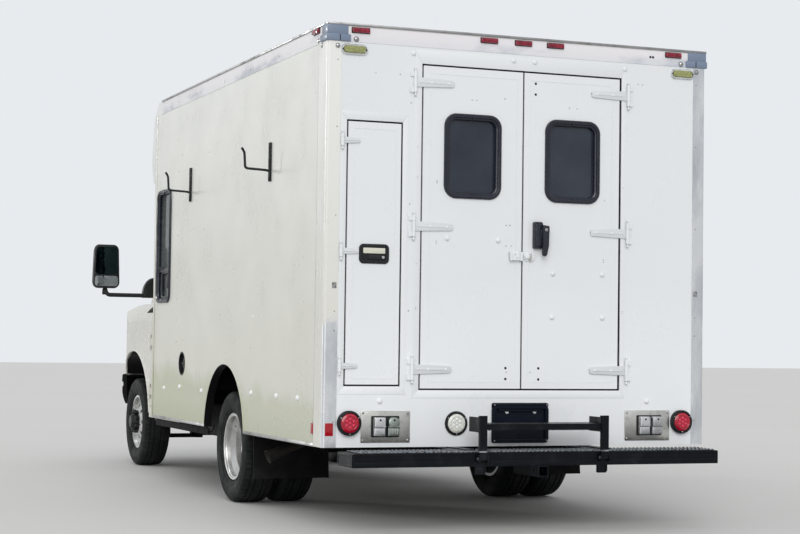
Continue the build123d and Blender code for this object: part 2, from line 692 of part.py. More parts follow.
def roof_panel():
    """A slightly crowned panel between the rails, with a low vent near the rear right."""
    half = INNER - SEAT
    low = ROOF_TOP - ROOF
    edge = ROOF_TOP - 4
    arc = ThreePointArc((-half, 0, edge), (0, 0, ROOF_TOP + ROOF_CROWN), (half, 0, edge))
    outline = Polyline((half, 0, edge), (half, 0, low), (-half, 0, low), (-half, 0, edge))
    start = CAP_SEAM_Y + SEAT
    panel = extrude(make_face([arc, *outline.edges()]), amount=REAR_Y - WALL - SEAT - start, dir=(0, 1, 0))
    vent = block((-1010, -790), (REAR_Y - 530, REAR_Y - 310), (low + 5, ROOF_TOP + 44))
    return Pos(0, start, 0) * panel + vent


def front_wall():
    """The bulkhead behind the cab, full height outboard of it and open in the middle."""
    wall = block((-HALF_WIDTH, HALF_WIDTH), (BOX_FRONT, BOX_FRONT + WALL), (SKIRT_Z, WALL_TOP))
    corners = wall.edges().filter_by(Axis.Z).filter_by(lambda edge: edge.center().Y < BOX_FRONT + 1)
    wall = fillet(corners, FRONT_CORNER_R)
    ends = (BOX_FRONT - 1, BOX_FRONT + WALL + 1)
    wall -= block((-CAB_HALF, CAB_HALF), ends, (SKIRT_Z - 1, FRAME_TOP + 20))
    return wall - rounded_along_y((-PASS_HALF, PASS_HALF), (FLOOR_TOP, PASS_TOP), 60, ends)


def cap_section(z, side_y, middle_y, inset, rear_y):
    half = HALF_WIDTH - inset
    front = ThreePointArc((half, side_y + inset, z), (0, middle_y + inset, z), (-half, side_y + inset, z))
    front_y = side_y + inset
    sides = Polyline((-half, front_y, z), (-half, rear_y, z), (half, rear_y, z), (half, front_y, z))
    return make_face([front, *sides.edges()])


def cap_form(inset):
    below = [row for row in CAP_ROWS if row[0] <= WALL_TOP]
    above = [row for row in CAP_ROWS if row[0] >= WALL_TOP]
    low = stacked([cap_section(z + inset * (z == CAP_ROWS[0][0]), side, middle, inset, BOX_FRONT - SEAT)
                   for z, side, middle in below])
    high = stacked([cap_section(z + SEAT - inset * (z == ROOF_TOP), side, middle, inset, CAP_SEAM_Y)
                    for z, side, middle in above])
    return low, high


def front_cap():
    """A moulded shell ahead of the front wall and over its top edge."""
    low, high = cap_form(0)
    low_space, high_space = cap_form(CAP_T)
    half = HALF_WIDTH - CAP_T
    bridge = block((-half, half), (-1290, BOX_FRONT - SEAT), (WALL_TOP - 1, WALL_TOP + 1))
    return low + high + stacked(cap_joint()) - low_space - high_space - bridge


def cap_joint():
    """The thin slice between the part before the wall and the part over it."""
    z, side, middle = [row for row in CAP_ROWS if row[0] == WALL_TOP][0]
    return [cap_section(z + rise, side, middle, 0, BOX_FRONT - SEAT) for rise in (-0.1, SEAT + 0.1)]


# Cab: outer form in three cuts, then shells of it for every panel

def cab_plan(z, inset):
    """Plan outline: straight sides, round front corners, bowed front."""
    half = CAB_HALF - inset
    corner_x = half - NOSE_CORNER
    nose = NOSE_FRONT + inset
    front_y = nose + 50
    middle_y = (NOSE_SIDE_END + front_y) / 2 - 60
    bend_x = half - NOSE_CORNER * 0.25
    curves = [
        ThreePointArc((half, NOSE_SIDE_END, z), (bend_x, middle_y, z), (corner_x, front_y, z)),
        ThreePointArc((corner_x, front_y, z), (0, nose, z), (-corner_x, front_y, z)),
        ThreePointArc((-corner_x, front_y, z), (-bend_x, middle_y, z), (-half, NOSE_SIDE_END, z))]
    back = Polyline((-half, NOSE_SIDE_END, z), (-half, BOX_FRONT, z), (half, BOX_FRONT, z),
                    (half, NOSE_SIDE_END, z))
    return make_face([*curves, *back.edges()])


def lower_cab(inset):
    """Everything below the windows, from the box to the nose."""
    bottom = CAB_BOTTOM if inset <= 0 else CAB_BOTTOM - 200
    plan = extrude(cab_plan(bottom, inset), amount=1500 - bottom)
    half = CAB_HALF - inset
    top = BELT_Z - inset
    shoulder = half - 130
    curves = [
        ThreePointArc((-half, 0, 1120), (-half + 32, 0, 1285 - inset / 2), (-shoulder, 0, top - 30)),
        ThreePointArc((-shoulder, 0, top - 30), (0, 0, top + 12), (shoulder, 0, top - 30)),
        ThreePointArc((shoulder, 0, top - 30), (half - 32, 0, 1285 - inset / 2), (half, 0, 1120))]
    below = Polyline((half, 0, 1120), (half, 0, bottom), (-half, 0, bottom), (-half, 0, 1120))
    across = extrude(make_face([*curves, *below.edges()]), amount=3000, dir=(0, -1, 0))
    across = Pos(0, BOX_FRONT + 1, 0) * across
    belt = BELT_Z + 20 - inset
    front = NOSE_FRONT - 1 + inset
    hood_line = [
        ThreePointArc((0, -2150, belt), (0, -2800, BELT_Z - 50 - inset), (0, NOSE_FRONT + 70, 1180 - inset)),
        ThreePointArc((0, NOSE_FRONT + 70, 1180 - inset),
                      (0, NOSE_FRONT + 22 + inset * 0.6, 1130 - inset * 0.6), (0, front, 1040))]
    rest = Polyline((0, front, 1040), (0, front, bottom), (0, BOX_FRONT, bottom), (0, BOX_FRONT, belt),
                    (0, -2150, belt))
    along = extrude(make_face([*hood_line, *rest.edges()]), amount=CAB_HALF + 10, dir=(1, 0, 0), both=True)
    return plan & across & along


def greenhouse(inset):
    rows = []
    for z, half, side, middle in GREENHOUSE:
        z -= inset if z > BELT_Z else inset * 0.3
        half -= inset
        side += inset
        front = ThreePointArc((half, side, z), (0, middle + inset, z), (-half, side, z))
        back = Polyline((-half, side, z), (-half, BOX_FRONT, z), (half, BOX_FRONT, z), (half, side, z))
        rows.append(make_face([front, *back.edges()]))
    return stacked(rows)


FORMS = {}


def envelope(inset):
    """The cab's outer form, moved in by inset and open below."""
    if inset not in FORMS:
        FORMS[inset] = lower_cab(inset) + greenhouse(inset)
    return FORMS[inset]


def shell(thickness):
    return envelope(0) - envelope(thickness)


def windshield_prism(shrink=0.0):
    points = [(x - math.copysign(shrink, x), z + math.copysign(shrink, 1600 - z)) for x, z in WINDSHIELD]
    return front_prism(points, -2500, -1500)


def cab_door_prism(grow=0.0):
    front = DOOR_FRONT - grow
    rear = DOOR_REAR + grow
    top = DOOR_TOP + grow
    low = DOOR_BOTTOM - grow
    points = [(front, low), (front, BELT_Z + 30), (front + 330, DOOR_TOP - 60), (front + 390, top), (rear, top),
              (rear, low)]
    return side_prism(points, 600, 1100)


def cab_window_prism(shrink=0.0):
    low = BELT_Z + 45 + shrink
    high = DOOR_TOP - 75 - shrink
    rear = DOOR_REAR - 70 - shrink
    points = [(DOOR_FRONT + 75 + shrink, low), (DOOR_FRONT + 385 + shrink, high), (rear, high), (rear, low)]
    return side_prism(points, 600, 1100)


def cab_shell():
    """Pillars, roof and cowl with floor, sills, firewall and engine cover."""
    ahead = DOOR_FRONT - CAB_SEAM
    body = shell(CAB_T) - block((-1100, 1100), (-4000, ahead), (0, BELT_Z - 30))
    body -= block((-1100, 1100), (-4000, COWL_Y), (0, 3000))
    beside_hood = block((HOOD_HALF, 1100), (COWL_Y - 1, ahead), (BELT_Z - 31, 1600)) - greenhouse(0)
    body -= beside_hood
    body -= other_side(beside_hood)
    body -= windshield_prism()
    body -= cab_door_prism(CAB_SEAM)
    body -= other_side(cab_door_prism(CAB_SEAM))
    low = CAB_FLOOR_TOP - CAB_FLOOR_T
    half = CAB_HALF - CAB_DOOR_T - CAB_SEAM
    body += block((-half, half), (FIREWALL_Y, BOX_FRONT), (low, CAB_FLOOR_TOP))
    firewall = block((-half, half), (FIREWALL_Y, FIREWALL_Y + 20), (low, BELT_Z - 20))
    body += firewall & envelope(HOOD_T + 4)
    body += block((-300, 300), (FIREWALL_Y + 10, -1600), (CAB_FLOOR_TOP - 1, 1080))
    for side in (-1, 1):
        body += block((side * (half - 17), side * half), (ahead, BOX_FRONT), (440, CAB_FLOOR_TOP))
        body += block((side * (half - 17), side * (CAB_HALF - 5)), (ahead, BOX_FRONT), (440, 470))
        body += hood_knuckles(side)
    return body


def hood_knuckles(side):
    """The two outer knuckles of a hood hinge on the cowl, with their pin."""
    y, z = HOOD_HINGE
    middle, outer = HOOD_KNUCKLES
    low = HOOD_HINGE_X - middle / 2 - outer
    piece = rod((side * low, y, z), (side, 0, 0), middle + 2 * outer, HINGE_PIN_R)
    for start in (low, HOOD_HINGE_X + middle / 2):
        piece += rod((side * start, y, z), (side, 0, 0), outer, BARREL_R)
        piece += block((side * start, side * (start + outer)), (y, y + 60), (z - 35, z))
    return piece


def cab_door():
    door = (shell(CAB_DOOR_T) & cab_door_prism()) - cab_window_prism()
    x, y = CAB_HINGE
    near, far = [CAB_HALF + off for off in STRAP]
    for z in CAB_HINGE_Z:
        strap = ((near, far), (y, y + 105))
        pad = ((CAB_HALF - 1, near), (DOOR_FRONT + 2, y + 105))
        door += door_knuckle((x, y), z, REAR_KNUCKLES[0], strap, pad)
    return door


def cab_pane():
    return (greenhouse(24) - greenhouse(24 + PANE_T)) & cab_window_prism(SEAT)


def windshield():
    return (greenhouse(10) - greenhouse(10 + PANE_T)) & windshield_prism(SEAT)


def hood():
    panel = shell(HOOD_T) & block((-HOOD_HALF + CAB_SEAM, HOOD_HALF - CAB_SEAM),
                                  (GRILLE_REAR + 6 + CAB_SEAM, COWL_Y - CAB_SEAM), (1040, 1500))
    y, z = HOOD_HINGE
    half = HOOD_KNUCKLES[0] / 2 - 0.5
    for side in (-1, 1):
        x = (side * (HOOD_HINGE_X - half), side * (HOOD_HINGE_X + half))
        panel += block(x, (y - 70, y - 10), (z - 28, z)) + block(x, (y - 12, y), (z - 7, z))
        panel += rod((x[0], y, z), (side, 0, 0), 2 * half, BARREL_R)
        panel -= rod((x[0] - side, y, z), (side, 0, 0), 2 * half + 2, HINGE_PIN_R + RUN)
    return panel


def fenders():
    """Each fender with its raised arch and wheel liner."""
    ahead = (GRILLE_REAR + SEAT, DOOR_FRONT - CAB_SEAM - 1)
    skin = shell(HOOD_T) & block((HOOD_HALF, 1100), ahead, (CAB_BOTTOM, BELT_Z + 60))
    skin -= rod((600, FRONT_AXLE, FRONT_ARCH_Z), (1, 0, 0), 500, FRONT_ARCH_R)
    skin -= block((600, 1100), (-4000, FRONT_AXLE), (0, BUMPER_Z[1] + 6))
    skin -= greenhouse(-4)
    liner = tube((580, FRONT_AXLE, FRONT_ARCH_Z), (1, 0, 0), 410, FRONT_ARCH_R + 14, FRONT_ARCH_R)
    liner &= block((570, 1100), ahead, (BUMPER_Z[1] + 6, 1300))
    fender = skin + (liner & envelope(2))
    x, y = CAB_HINGE
    for z in CAB_HINGE_Z:
        fender += body_knuckles((x, y), z, REAR_KNUCKLES, ((CAB_HALF - 1, x), (y - 30, y)))
    return both_sides(fender)


def headlamp_prism(shrink=0.0):
    (x_low, x_high), (z_low, z_high) = HEADLAMP
    return rounded_along_y((x_low + shrink, x_high - shrink), (z_low + shrink, z_high - shrink), 30 - shrink,
                           (-3400, GRILLE_REAR))


def grille_panel():
    """Nose panel with the headlamp openings and a barred grille."""
    panel = shell(GRILLE_T) & block((-1100, 1100), (-4000, GRILLE_REAR), (BUMPER_Z[1] + 6, 1500))
    panel -= headlamp_prism()
    panel -= other_side(headlamp_prism())
    (x_low, x_high), (z_low, z_high) = GRILLE
    opening = rounded_along_y((x_low, x_high), (z_low, z_high), 25, (-3400, GRILLE_REAR))
    panel -= opening
    pitch = (z_high - z_low) / (GRILLE_BARS + 1)
    for count in range(GRILLE_BARS):
        z = z_low + pitch * (count + 1)
        panel += (envelope(6) - envelope(GRILLE_T - 4)) & block((x_low - 2, x_high + 2), (-3400, GRILLE_REAR),
                                                              (z - 11, z + 11))
    return panel


def headlamps():
    return both_sides((envelope(3) - envelope(GRILLE_T - 2)) & headlamp_prism(SEAT))


def front_bumper():
    """Bar that wraps round both corners, on two brackets from the frame."""
    def plan(inset):
        half = CAB_HALF - 12 - inset
        front = -HALF_LENGTH + inset
        rear = -2985
        z = BUMPER_Z[0]
        curves = [
            ThreePointArc((half, rear, z), (half - 45, rear - 200, z), (half - 190, front + 60, z)),
            ThreePointArc((half - 190, front + 60, z), (0, front, z), (190 - half, front + 60, z)),
            ThreePointArc((190 - half, front + 60, z), (45 - half, rear - 200, z), (-half, rear, z))]
        return extrude(make_face([*curves, Line((-half, rear, z), (half, rear, z))]), amount=BUMPER_Z[1] - z)
    bar = plan(0) - plan(45)
    for side in (-1, 1):
        x = (side * (FRAME_X - 25), side * (FRAME_X + 25))
        bar += block(x, (-HALF_LENGTH + 42, FRAME_FRONT - SEAT), (520, 610))
    return bar


def mirror_arm():
    """Base on the door's corner, arm, and a tall head."""
    y = MIRROR_Y
    base = block((900, 1022), (y - 18, y + 40), (1395, 1465)) - envelope(0)
    arm = rod((1000, y, MIRROR_ARM_Z), (1, 0, 0), 400, 14)
    arm += rod((1400, y, MIRROR_ARM_Z - 22), (0, 0, 1), 60, 18)
    y_low, z_low = MIRROR_HEAD[1][0], MIRROR_HEAD[2][0]
    head = block(*MIRROR_HEAD)
    head = fillet(head.edges().filter_by(Axis.Z), 20)
    link = block((1374, 1426), (y_low + 30, y + 24), (MIRROR_ARM_Z + 30, z_low + 25))
    return base + arm + link + head


def dashboard():
    """Dash with the steering column."""
    half = CAB_HALF - CAB_DOOR_T - 90
    dash = block((-half, half), (FIREWALL_Y + 20 + SEAT, -1690), (1100, 1320))
    brow = dash.edges().filter_by(Axis.X).sort_by(lambda edge: edge.center().Y + edge.center().Z)[-1]
    dash = fillet(brow, 60)
    length = 260
    start = [c - a * (length + SEAT + 26) for c, a in zip(WHEEL_CENTRE, STEER_AXIS)]
    return dash + rod(start, STEER_AXIS, length, 36)


def steering_wheel():
    plane = Plane(origin=WHEEL_CENTRE, z_dir=STEER_AXIS)
    wheel = plane * Torus(STEER_R, STEER_GRIP_R)
    wheel += plane * Cylinder(52, 52)
    for turn in (0, 180, 270):
        wheel += plane * Rot(0, 0, turn) * Pos(STEER_R / 2 + 10, 0, 0) * Box(STEER_R - 20, 34, 14)
    return wheel


def seats():
    """Two cab seats and the cushion of the bench."""
    soft = []
    for side in (-1, 1):
        x = (side * SEAT_X - SEAT_HALF, side * SEAT_X + SEAT_HALF)
        y = (-1470, BOX_FRONT - 40)
        seat = block((x[0] + 40, x[1] - 40), (y[0] + 60, y[1] - 40), (CAB_FLOOR_TOP + SEAT, 860))
        seat += fillet(block(x, y, (855, 1040)).edges(), 30)
        seat += fillet(block(x, (y[1] - 130, y[1]), (990, 1560)).edges(), 30)
        seat += fillet(block((x[0] + 110, x[1] - 110), (y[1] - 115, y[1] - 15), (1540, 1760)).edges(), 30)
        soft += seat.solids()
    cushion = block((-INNER + 4, -620), (490, 2290), (BENCH_TOP + SEAT, BENCH_TOP + 90))
    return soft + list(fillet(cushion.edges(), 20).solids())


def cabinets():
    """Bench base over the right wheel housing, and a tall cabinet over the left one."""
    low = FLOOR_TOP + SEAT
    bench = block((-INNER + SEAT, -610), (480, 2300), (low, BENCH_TOP)) - other_side(housing_outside(SEAT))
    tall = block((800, INNER - SEAT), (-380, 2500), (low, ROOF_TOP - CABINET_DROP)) - housing_outside(SEAT)
    return list(bench.solids()) + list(tall.solids())


# Fittings

def side_hooks():
    hooks = []
    wall = HALF_WIDTH + SEAT
    end = HALF_WIDTH + HOOK_REACH
    for y in HOOK_Y:
        hook = block((wall, wall + 8), (y - 16, y + 16), HOOK_Z)
        hook += block((wall, end), (y - 9, y + 9), (HOOK_ARM_Z - 10, HOOK_ARM_Z + 10))
        hook += block((end - 18, end), (y - 9, y + 9), (HOOK_ARM_Z - 10, HOOK_ARM_Z + 100))
        tip = front_prism([(end - 18, HOOK_ARM_Z + 99), (end, HOOK_ARM_Z + 99), (end + 24, HOOK_ARM_Z + 130),
                           (end + 6, HOOK_ARM_Z + 130)], y - 9, y + 9)
        hooks += (hook + tip).solids()
    return hooks


def rear_bumper():
    """Bar on two brackets, with a square receiver below and clevises for the step."""
    low, high = REAR_BUMPER_Z
    bar = block((-BUMPER_HALF, BUMPER_HALF), (BUMPER_REAR - BUMPER_DEPTH, BUMPER_REAR), (low, high))
    receiver = block((-RECEIVER_HALF, RECEIVER_HALF), (BUMPER_REAR - 320, BUMPER_REAR + 10),
                     (low + 1 - 2 * RECEIVER_HALF, low + 1))
    bar += receiver
    for side in (-1, 1):
        x = (side * (FRAME_X - 28), side * (FRAME_X + 28))
        bar += block(x, (FRAME_REAR - 160, BUMPER_REAR - 40), (high - 1, SKIRT_Z - SEAT))
        bar += block(x, (FRAME_REAR - 160, FRAME_REAR - 5), (high - 1, FRAME_BOTTOM - SEAT))
        for inner in (STEP_X - STEP_ARM_HALF - 8.5, STEP_X + STEP_ARM_HALF + 0.5):
            bar += block((side * inner, side * (inner + 8)), (BUMPER_REAR - 1, HALF_LENGTH),
                         (STEP_PIVOT_Z - 20, STEP_PIVOT_Z + 20))
        bar += rod((side * (STEP_X - STEP_ARM_HALF - 8), STEP_PIVOT_Y, STEP_PIVOT_Z), (side, 0, 0),
                   2 * STEP_ARM_HALF + 16, STEP_PIN_R)
    middle = low + 1 - RECEIVER_HALF
    ahead, radius = RECEIVER_PIN
    bar -= rod((-RECEIVER_HALF - 1, BUMPER_REAR + 10 - ahead, middle), (1, 0, 0), 2 * RECEIVER_HALF + 2, radius)
    return bar - block((-RECEIVER_BORE_HALF, RECEIVER_BORE_HALF), (BUMPER_REAR - 200, BUMPER_REAR + 11),
                       (middle - RECEIVER_BORE_HALF, middle + RECEIVER_BORE_HALF))


def folding_step():
    """Two arms on pins behind the bumper, carrying a tread between end plates, folded up."""
    half = STEP_ARM_T / 2
    step = block((-STEP_X, STEP_X), (STEP_PIVOT_Y - TREAD_DEPTH, STEP_PIVOT_Y), TREAD_Z)
    for side in (-1, 1):
        x = (side * (STEP_X - STEP_ARM_HALF), side * (STEP_X + STEP_ARM_HALF))
        step += block(x, (STEP_PIVOT_Y - half, STEP_PIVOT_Y + half), (STEP_PIVOT_Z, STEP_TOP))
        step += rod((x[0], STEP_PIVOT_Y, STEP_PIVOT_Z), (side, 0, 0), 2 * STEP_ARM_HALF, half)
        step += block((side * (STEP_X - 6), side * (STEP_X + 6)), (STEP_PIVOT_Y - TREAD_DEPTH, STEP_PIVOT_Y),
                      TREAD_PLATE_Z)
    return step - rod((-STEP_X - 40, STEP_PIVOT_Y, STEP_PIVOT_Z), (1, 0, 0), 2 * STEP_X + 80, STEP_PIN_R + RUN)


def tail_lamps():
    x, z = TAIL_LAMP
    return both_sides(rod((x, REAR_Y + SEAT, z), (0, 1, 0), 24, TAIL_LAMP_R))


NODES = {
    "chassis_frame": chassis_frame,
    "engine_block": engine_block,
    "front_crossmember": front_crossmember,
    "rear_axle": rear_axle,
    "propshaft": propshaft,
    "exhaust": exhaust,
    "fuel_tank": fuel_tank,
    "body_floor": body_floor,
    "left_wall": left_wall,
    "right_wall": right_wall,
    "rear_wall": rear_wall,
    "front_wall": front_wall,
    "front_cap": front_cap,
    "roof_panel": roof_panel,
    "top_rails": top_rails,
    "corner_posts": corner_posts,
    "compartment_door": compartment_door,
    "entry_door": entry_door,
    "cab_shell": cab_shell,
    "hood": hood,
    "fenders": fenders,
    "grille_panel": grille_panel,
    "headlamps": headlamps,
    "front_bumper": front_bumper,
    "fixed_panes": lambda: list(windshield().solids()) + list(side_pane().solids()),
    "dashboard": dashboard,
    "steering_wheel": steering_wheel,
    "seats": seats,
    "cabinets": cabinets,
    "side_hooks": side_hooks,
    "rear_bumper": rear_bumper,
    "folding_step": folding_step,
    "tail_lamps": tail_lamps,
}
# Made for the left side, then mirrored
PAIRS = {
    "knuckle": knuckle,
    "front_tyre": lambda: Pos(0, FRONT_AXLE, TYRE_R) * tyre(FRONT_TYRE_X),
    "front_rim": front_rim,
    "rear_tyres": rear_tyres,
    "rear_rims": rear_rims,
    "rear_door": rear_door,
    "rear_pane": rear_pane,
    "cab_door": cab_door,
    "cab_pane": cab_pane,
    "mirror": mirror_arm,
}


def all_solids(shape):
    if isinstance(shape, (list, tuple)):
        return [solid for item in shape for solid in item.solids()]
    return list(shape.solids())


def write(name, solids):
    whole = solids[0] if len(solids) == 1 else Compound(children=solids)
    export_step(whole, f"parts/{name}.step")


os.makedirs("parts", exist_ok=True)
for name, make in NODES.items():
    write(name, all_solids(make()))
for name, make in PAIRS.items():
    solids = all_solids(make())
    write(f"{name}_left", solids)
    write(f"{name}_right", [other_side(solid) for solid in solids])
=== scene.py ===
import math

import bmesh
import bpy
from mathutils import Matrix, Vector


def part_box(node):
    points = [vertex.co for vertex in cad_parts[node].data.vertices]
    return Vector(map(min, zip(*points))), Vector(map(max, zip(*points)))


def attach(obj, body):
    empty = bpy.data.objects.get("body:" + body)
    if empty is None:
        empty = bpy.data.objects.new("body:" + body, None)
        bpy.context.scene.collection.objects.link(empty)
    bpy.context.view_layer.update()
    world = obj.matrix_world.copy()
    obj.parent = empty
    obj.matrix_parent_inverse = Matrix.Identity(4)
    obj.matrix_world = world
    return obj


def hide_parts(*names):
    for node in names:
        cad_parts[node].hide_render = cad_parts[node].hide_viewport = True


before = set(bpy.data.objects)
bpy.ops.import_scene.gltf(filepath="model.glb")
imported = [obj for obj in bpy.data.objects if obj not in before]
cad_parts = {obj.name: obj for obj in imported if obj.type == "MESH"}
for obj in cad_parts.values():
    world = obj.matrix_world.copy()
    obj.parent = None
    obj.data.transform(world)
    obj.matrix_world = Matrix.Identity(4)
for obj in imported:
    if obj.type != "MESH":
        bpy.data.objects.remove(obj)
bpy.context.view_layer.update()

# Metres, in the row frame: X is the vehicle's left, -Y its front. Driving faces come from the frame
BODY = "vehicle_body"
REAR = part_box("top_rails")[1].y - 0.002
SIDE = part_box("left_wall")[1].x
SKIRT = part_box("left_wall")[0].z
RAIL_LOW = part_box("top_rails")[0].z
RAIL_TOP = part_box("top_rails")[1].z
BOX_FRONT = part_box("front_wall")[0].y
WALL = 0.050
FLOOR_Z = 0.780
SIDES = (("left", 1), ("right", -1))
# Wheel arches: the height of their centres, and their radii
REAR_ARCH_Z, REAR_ARCH = 0.440, 0.470
FRONT_ARCH_Z, FRONT_ARCH = 0.385, 0.581


def middle_of(node):
    """The middle of a CAD node in y and z."""
    low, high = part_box(node)
    return (low.y + high.y) / 2, (low.z + high.z) / 2


REAR_AXLE = middle_of("rear_tyres_left")[0]
FRONT_AXLE = middle_of("front_tyre_left")[0]


# Camera and light

CAMERA_PLACE = (4.562, 12.655, 1.082)
CAMERA_YAW = math.radians(21.505)
CAMERA_PITCH = math.radians(2.3)
CAMERA_ROLL = math.radians(0.768)
CAMERA_LENS = 81.87
SENSOR = 36.0


def make_camera():
    data = bpy.data.cameras.new("camera")
    data.lens = CAMERA_LENS
    data.sensor_width = SENSOR
    data.clip_end = 200
    camera = bpy.data.objects.new("camera", data)
    bpy.context.scene.collection.objects.link(camera)
    level = math.cos(CAMERA_PITCH)
    forward = Vector((-math.sin(CAMERA_YAW) * level, -math.cos(CAMERA_YAW) * level, math.sin(CAMERA_PITCH)))
    right = forward.cross(Vector((0, 0, 1))).normalized()
    up = right.cross(forward)
    rolled_right = right * math.cos(CAMERA_ROLL) + up * math.sin(CAMERA_ROLL)
    rolled_up = up * math.cos(CAMERA_ROLL) - right * math.sin(CAMERA_ROLL)
    turn = Matrix((rolled_right, rolled_up, -forward)).transposed()
    camera.matrix_world = Matrix.Translation(CAMERA_PLACE) @ turn.to_4x4()
    bpy.context.scene.camera = camera


def make_light():
    """A sky that lights the object, a pale backdrop that only the camera sees, and two lamps."""
    scene = bpy.context.scene
    scene.view_settings.view_transform = "Standard"
    world = bpy.data.worlds.new("sky")
    scene.world = world
    world.use_nodes = True
    tree = world.node_tree
    tree.nodes.clear()
    place = tree.nodes.new("ShaderNodeTexCoord")
    split = tree.nodes.new("ShaderNodeSeparateXYZ")
    ramp = tree.nodes.new("ShaderNodeValToRGB")
    ramp.color_ramp.elements[0].position = 0.42
    ramp.color_ramp.elements[0].color = (0.50, 0.50, 0.50, 1)
    ramp.color_ramp.elements[1].position = 0.72
    ramp.color_ramp.elements[1].color = (0.96, 0.98, 1.0, 1)
    shift = tree.nodes.new("ShaderNodeMapRange")
    shift.inputs["From Min"].default_value = -1
    light = tree.nodes.new("ShaderNodeBackground")
    light.inputs["Strength"].default_value = 0.80
    seen = tree.nodes.new("ShaderNodeBackground")
    seen.inputs["Color"].default_value = (0.80, 0.83, 0.86, 1)
    seen.inputs["Strength"].default_value = 1.0
    path = tree.nodes.new("ShaderNodeLightPath")
    mix = tree.nodes.new("ShaderNodeMixShader")
    out = tree.nodes.new("ShaderNodeOutputWorld")
    for start, end in ((place.outputs["Generated"], split.inputs[0]),
                       (split.outputs["Z"], shift.inputs["Value"]), (shift.outputs[0], ramp.inputs["Fac"]),
                       (ramp.outputs["Color"], light.inputs["Color"]),
                       (path.outputs["Is Camera Ray"], mix.inputs["Fac"]), (light.outputs[0], mix.inputs[1]),
                       (seen.outputs[0], mix.inputs[2]), (mix.outputs[0], out.inputs["Surface"])):
        tree.links.new(start, end)
    # Name, direction of travel, strength, softness in degrees
    for name, travel, strength, angle in (
            ("key", (-0.36, -0.88, -0.48), 1.42, 40),
            ("low_sun", (-0.62, 0.76, -0.14), 0.60, 4)):
        data = bpy.data.lights.new(name, "SUN")
        data.energy = strength
        data.angle = math.radians(angle)
        lamp = bpy.data.objects.new(name, data)
        lamp.rotation_euler = Vector(travel).to_track_quat("-Z", "Y").to_euler()
        scene.collection.objects.link(lamp)


# Materials: a small kit for procedural surfaces in object space

MAT = {}


class Surface:
    """One material: a Principled shader with helpers that feed its colour, roughness and bump."""

    def __init__(self, name, rough=0.5, metal=0.0, coat=0.0, **sockets):
        self.material = MAT[name] = bpy.data.materials.new(name)
        self.material.use_nodes = True
        self.tree = self.material.node_tree
        self.shader = self.tree.nodes["Principled BSDF"]
        for socket, value in {"Roughness": rough, "Metallic": metal, "Coat_Weight": coat, **sockets}.items():
            self.feed(self.shader.inputs[socket.replace("_", " ")], value)
        self.place = self.node("ShaderNodeTexCoord").outputs["Object"]
        self.bumps = None

    def feed(self, socket, value):
        """Links a socket, or sets it to a number, vector or colour."""
        if isinstance(value, bpy.types.NodeSocket):
            self.tree.links.new(value, socket)
        elif hasattr(value, "__len__"):
            socket.default_value = (*value, 1)[:len(socket.default_value)]
        else:
            socket.default_value = value

    def node(self, kind, inputs=None, **settings):
        made = self.tree.nodes.new(kind)
        for key, value in settings.items():
            setattr(made, key, value)
        for key, value in (inputs or {}).items():
            self.feed(made.inputs[key], value)
        return made

    def stretched(self, stretch):
        return self.node("ShaderNodeVectorMath", {0: self.place, 1: stretch}, operation="MULTIPLY").outputs[0]

    def noise(self, scale, detail=3.0, stretch=(1, 1, 1), rough=0.55):
        inputs = {"Vector": self.stretched(stretch), "Scale": scale, "Detail": detail, "Roughness": rough}
        return self.node("ShaderNodeTexNoise", inputs).outputs["Fac"]

    def cells(self, scale):
        return self.node("ShaderNodeTexVoronoi", {"Vector": self.place, "Scale": scale}).outputs["Distance"]

    def wave(self, scale, direction, distortion):
        inputs = {"Vector": self.place, "Scale": scale, "Distortion": distortion}
        return self.node("ShaderNodeTexWave", inputs, bands_direction=direction).outputs["Fac"]

    def axis(self, letter):
        return self.node("ShaderNodeSeparateXYZ", {0: self.place}).outputs[letter]

    def span(self, value, low, high, to_low=0.0, to_high=1.0):
        """The value between low and high, spread from to_low to to_high."""
        inputs = {"Value": value, "From Min": low, "From Max": high, "To Min": to_low, "To Max": to_high}
        return self.node("ShaderNodeMapRange", inputs).outputs[0]

    def free(self, operation, a, b=0.0, clamp=False):
        """Arithmetic without limits, for positions."""
        return self.node("ShaderNodeMath", {0: a, 1: b}, operation=operation, use_clamp=clamp).outputs[0]

    def times(self, a, b):
        return self.free("MULTIPLY", a, b, True)

    def largest(self, a, b):
        return self.free("MAXIMUM", a, b, True)

    def radius_from(self, y, z):
        """Distance from the line through (y, z) along X."""
        inputs = {0: self.stretched((0, 1, 1)), 1: (0, y, z)}
        return self.node("ShaderNodeVectorMath", inputs, operation="DISTANCE").outputs["Value"]

    def within(self, letter, low, high, soft=0.0008):
        """1 between two positions on an axis, 0 outside."""
        value = self.axis(letter)
        return self.times(self.span(value, low - soft, low), self.span(value, high + soft, high))

    def blend(self, factor, a, b):
        return self.node("ShaderNodeMix", {"Factor": factor, 6: a, 7: b}, data_type="RGBA").outputs[2]

    def colour(self, value):
        self.feed(self.shader.inputs["Base Color"], value)

    def roughness(self, value):
        self.feed(self.shader.inputs["Roughness"], value)

    def deaden(self, mask, coat=0.25, shine=0.5):
        """Takes the gloss away where the mask is 1."""
        self.feed(self.shader.inputs["Coat Weight"], self.span(mask, 0, 1, coat, 0.0))
        self.feed(self.shader.inputs["Specular IOR Level"], self.span(mask, 0, 1, shine, 0.06))

    def bump(self, height, distance, strength=1.0):
        """Adds a relief on top of those before it."""
        inputs = {"Strength": strength, "Distance": distance, "Height": height}
        if self.bumps is not None:
            inputs["Normal"] = self.bumps
        self.bumps = self.node("ShaderNodeBump", inputs).outputs[0]
        self.feed(self.shader.inputs["Normal"], self.bumps)


BLACK = (0.008, 0.008, 0.009)
INSIDE_WHITE = (0.60, 0.61, 0.59)
GREY_FILM = (0.62, 0.63, 0.62)
GREY_DUST = (0.05, 0.05, 0.05)


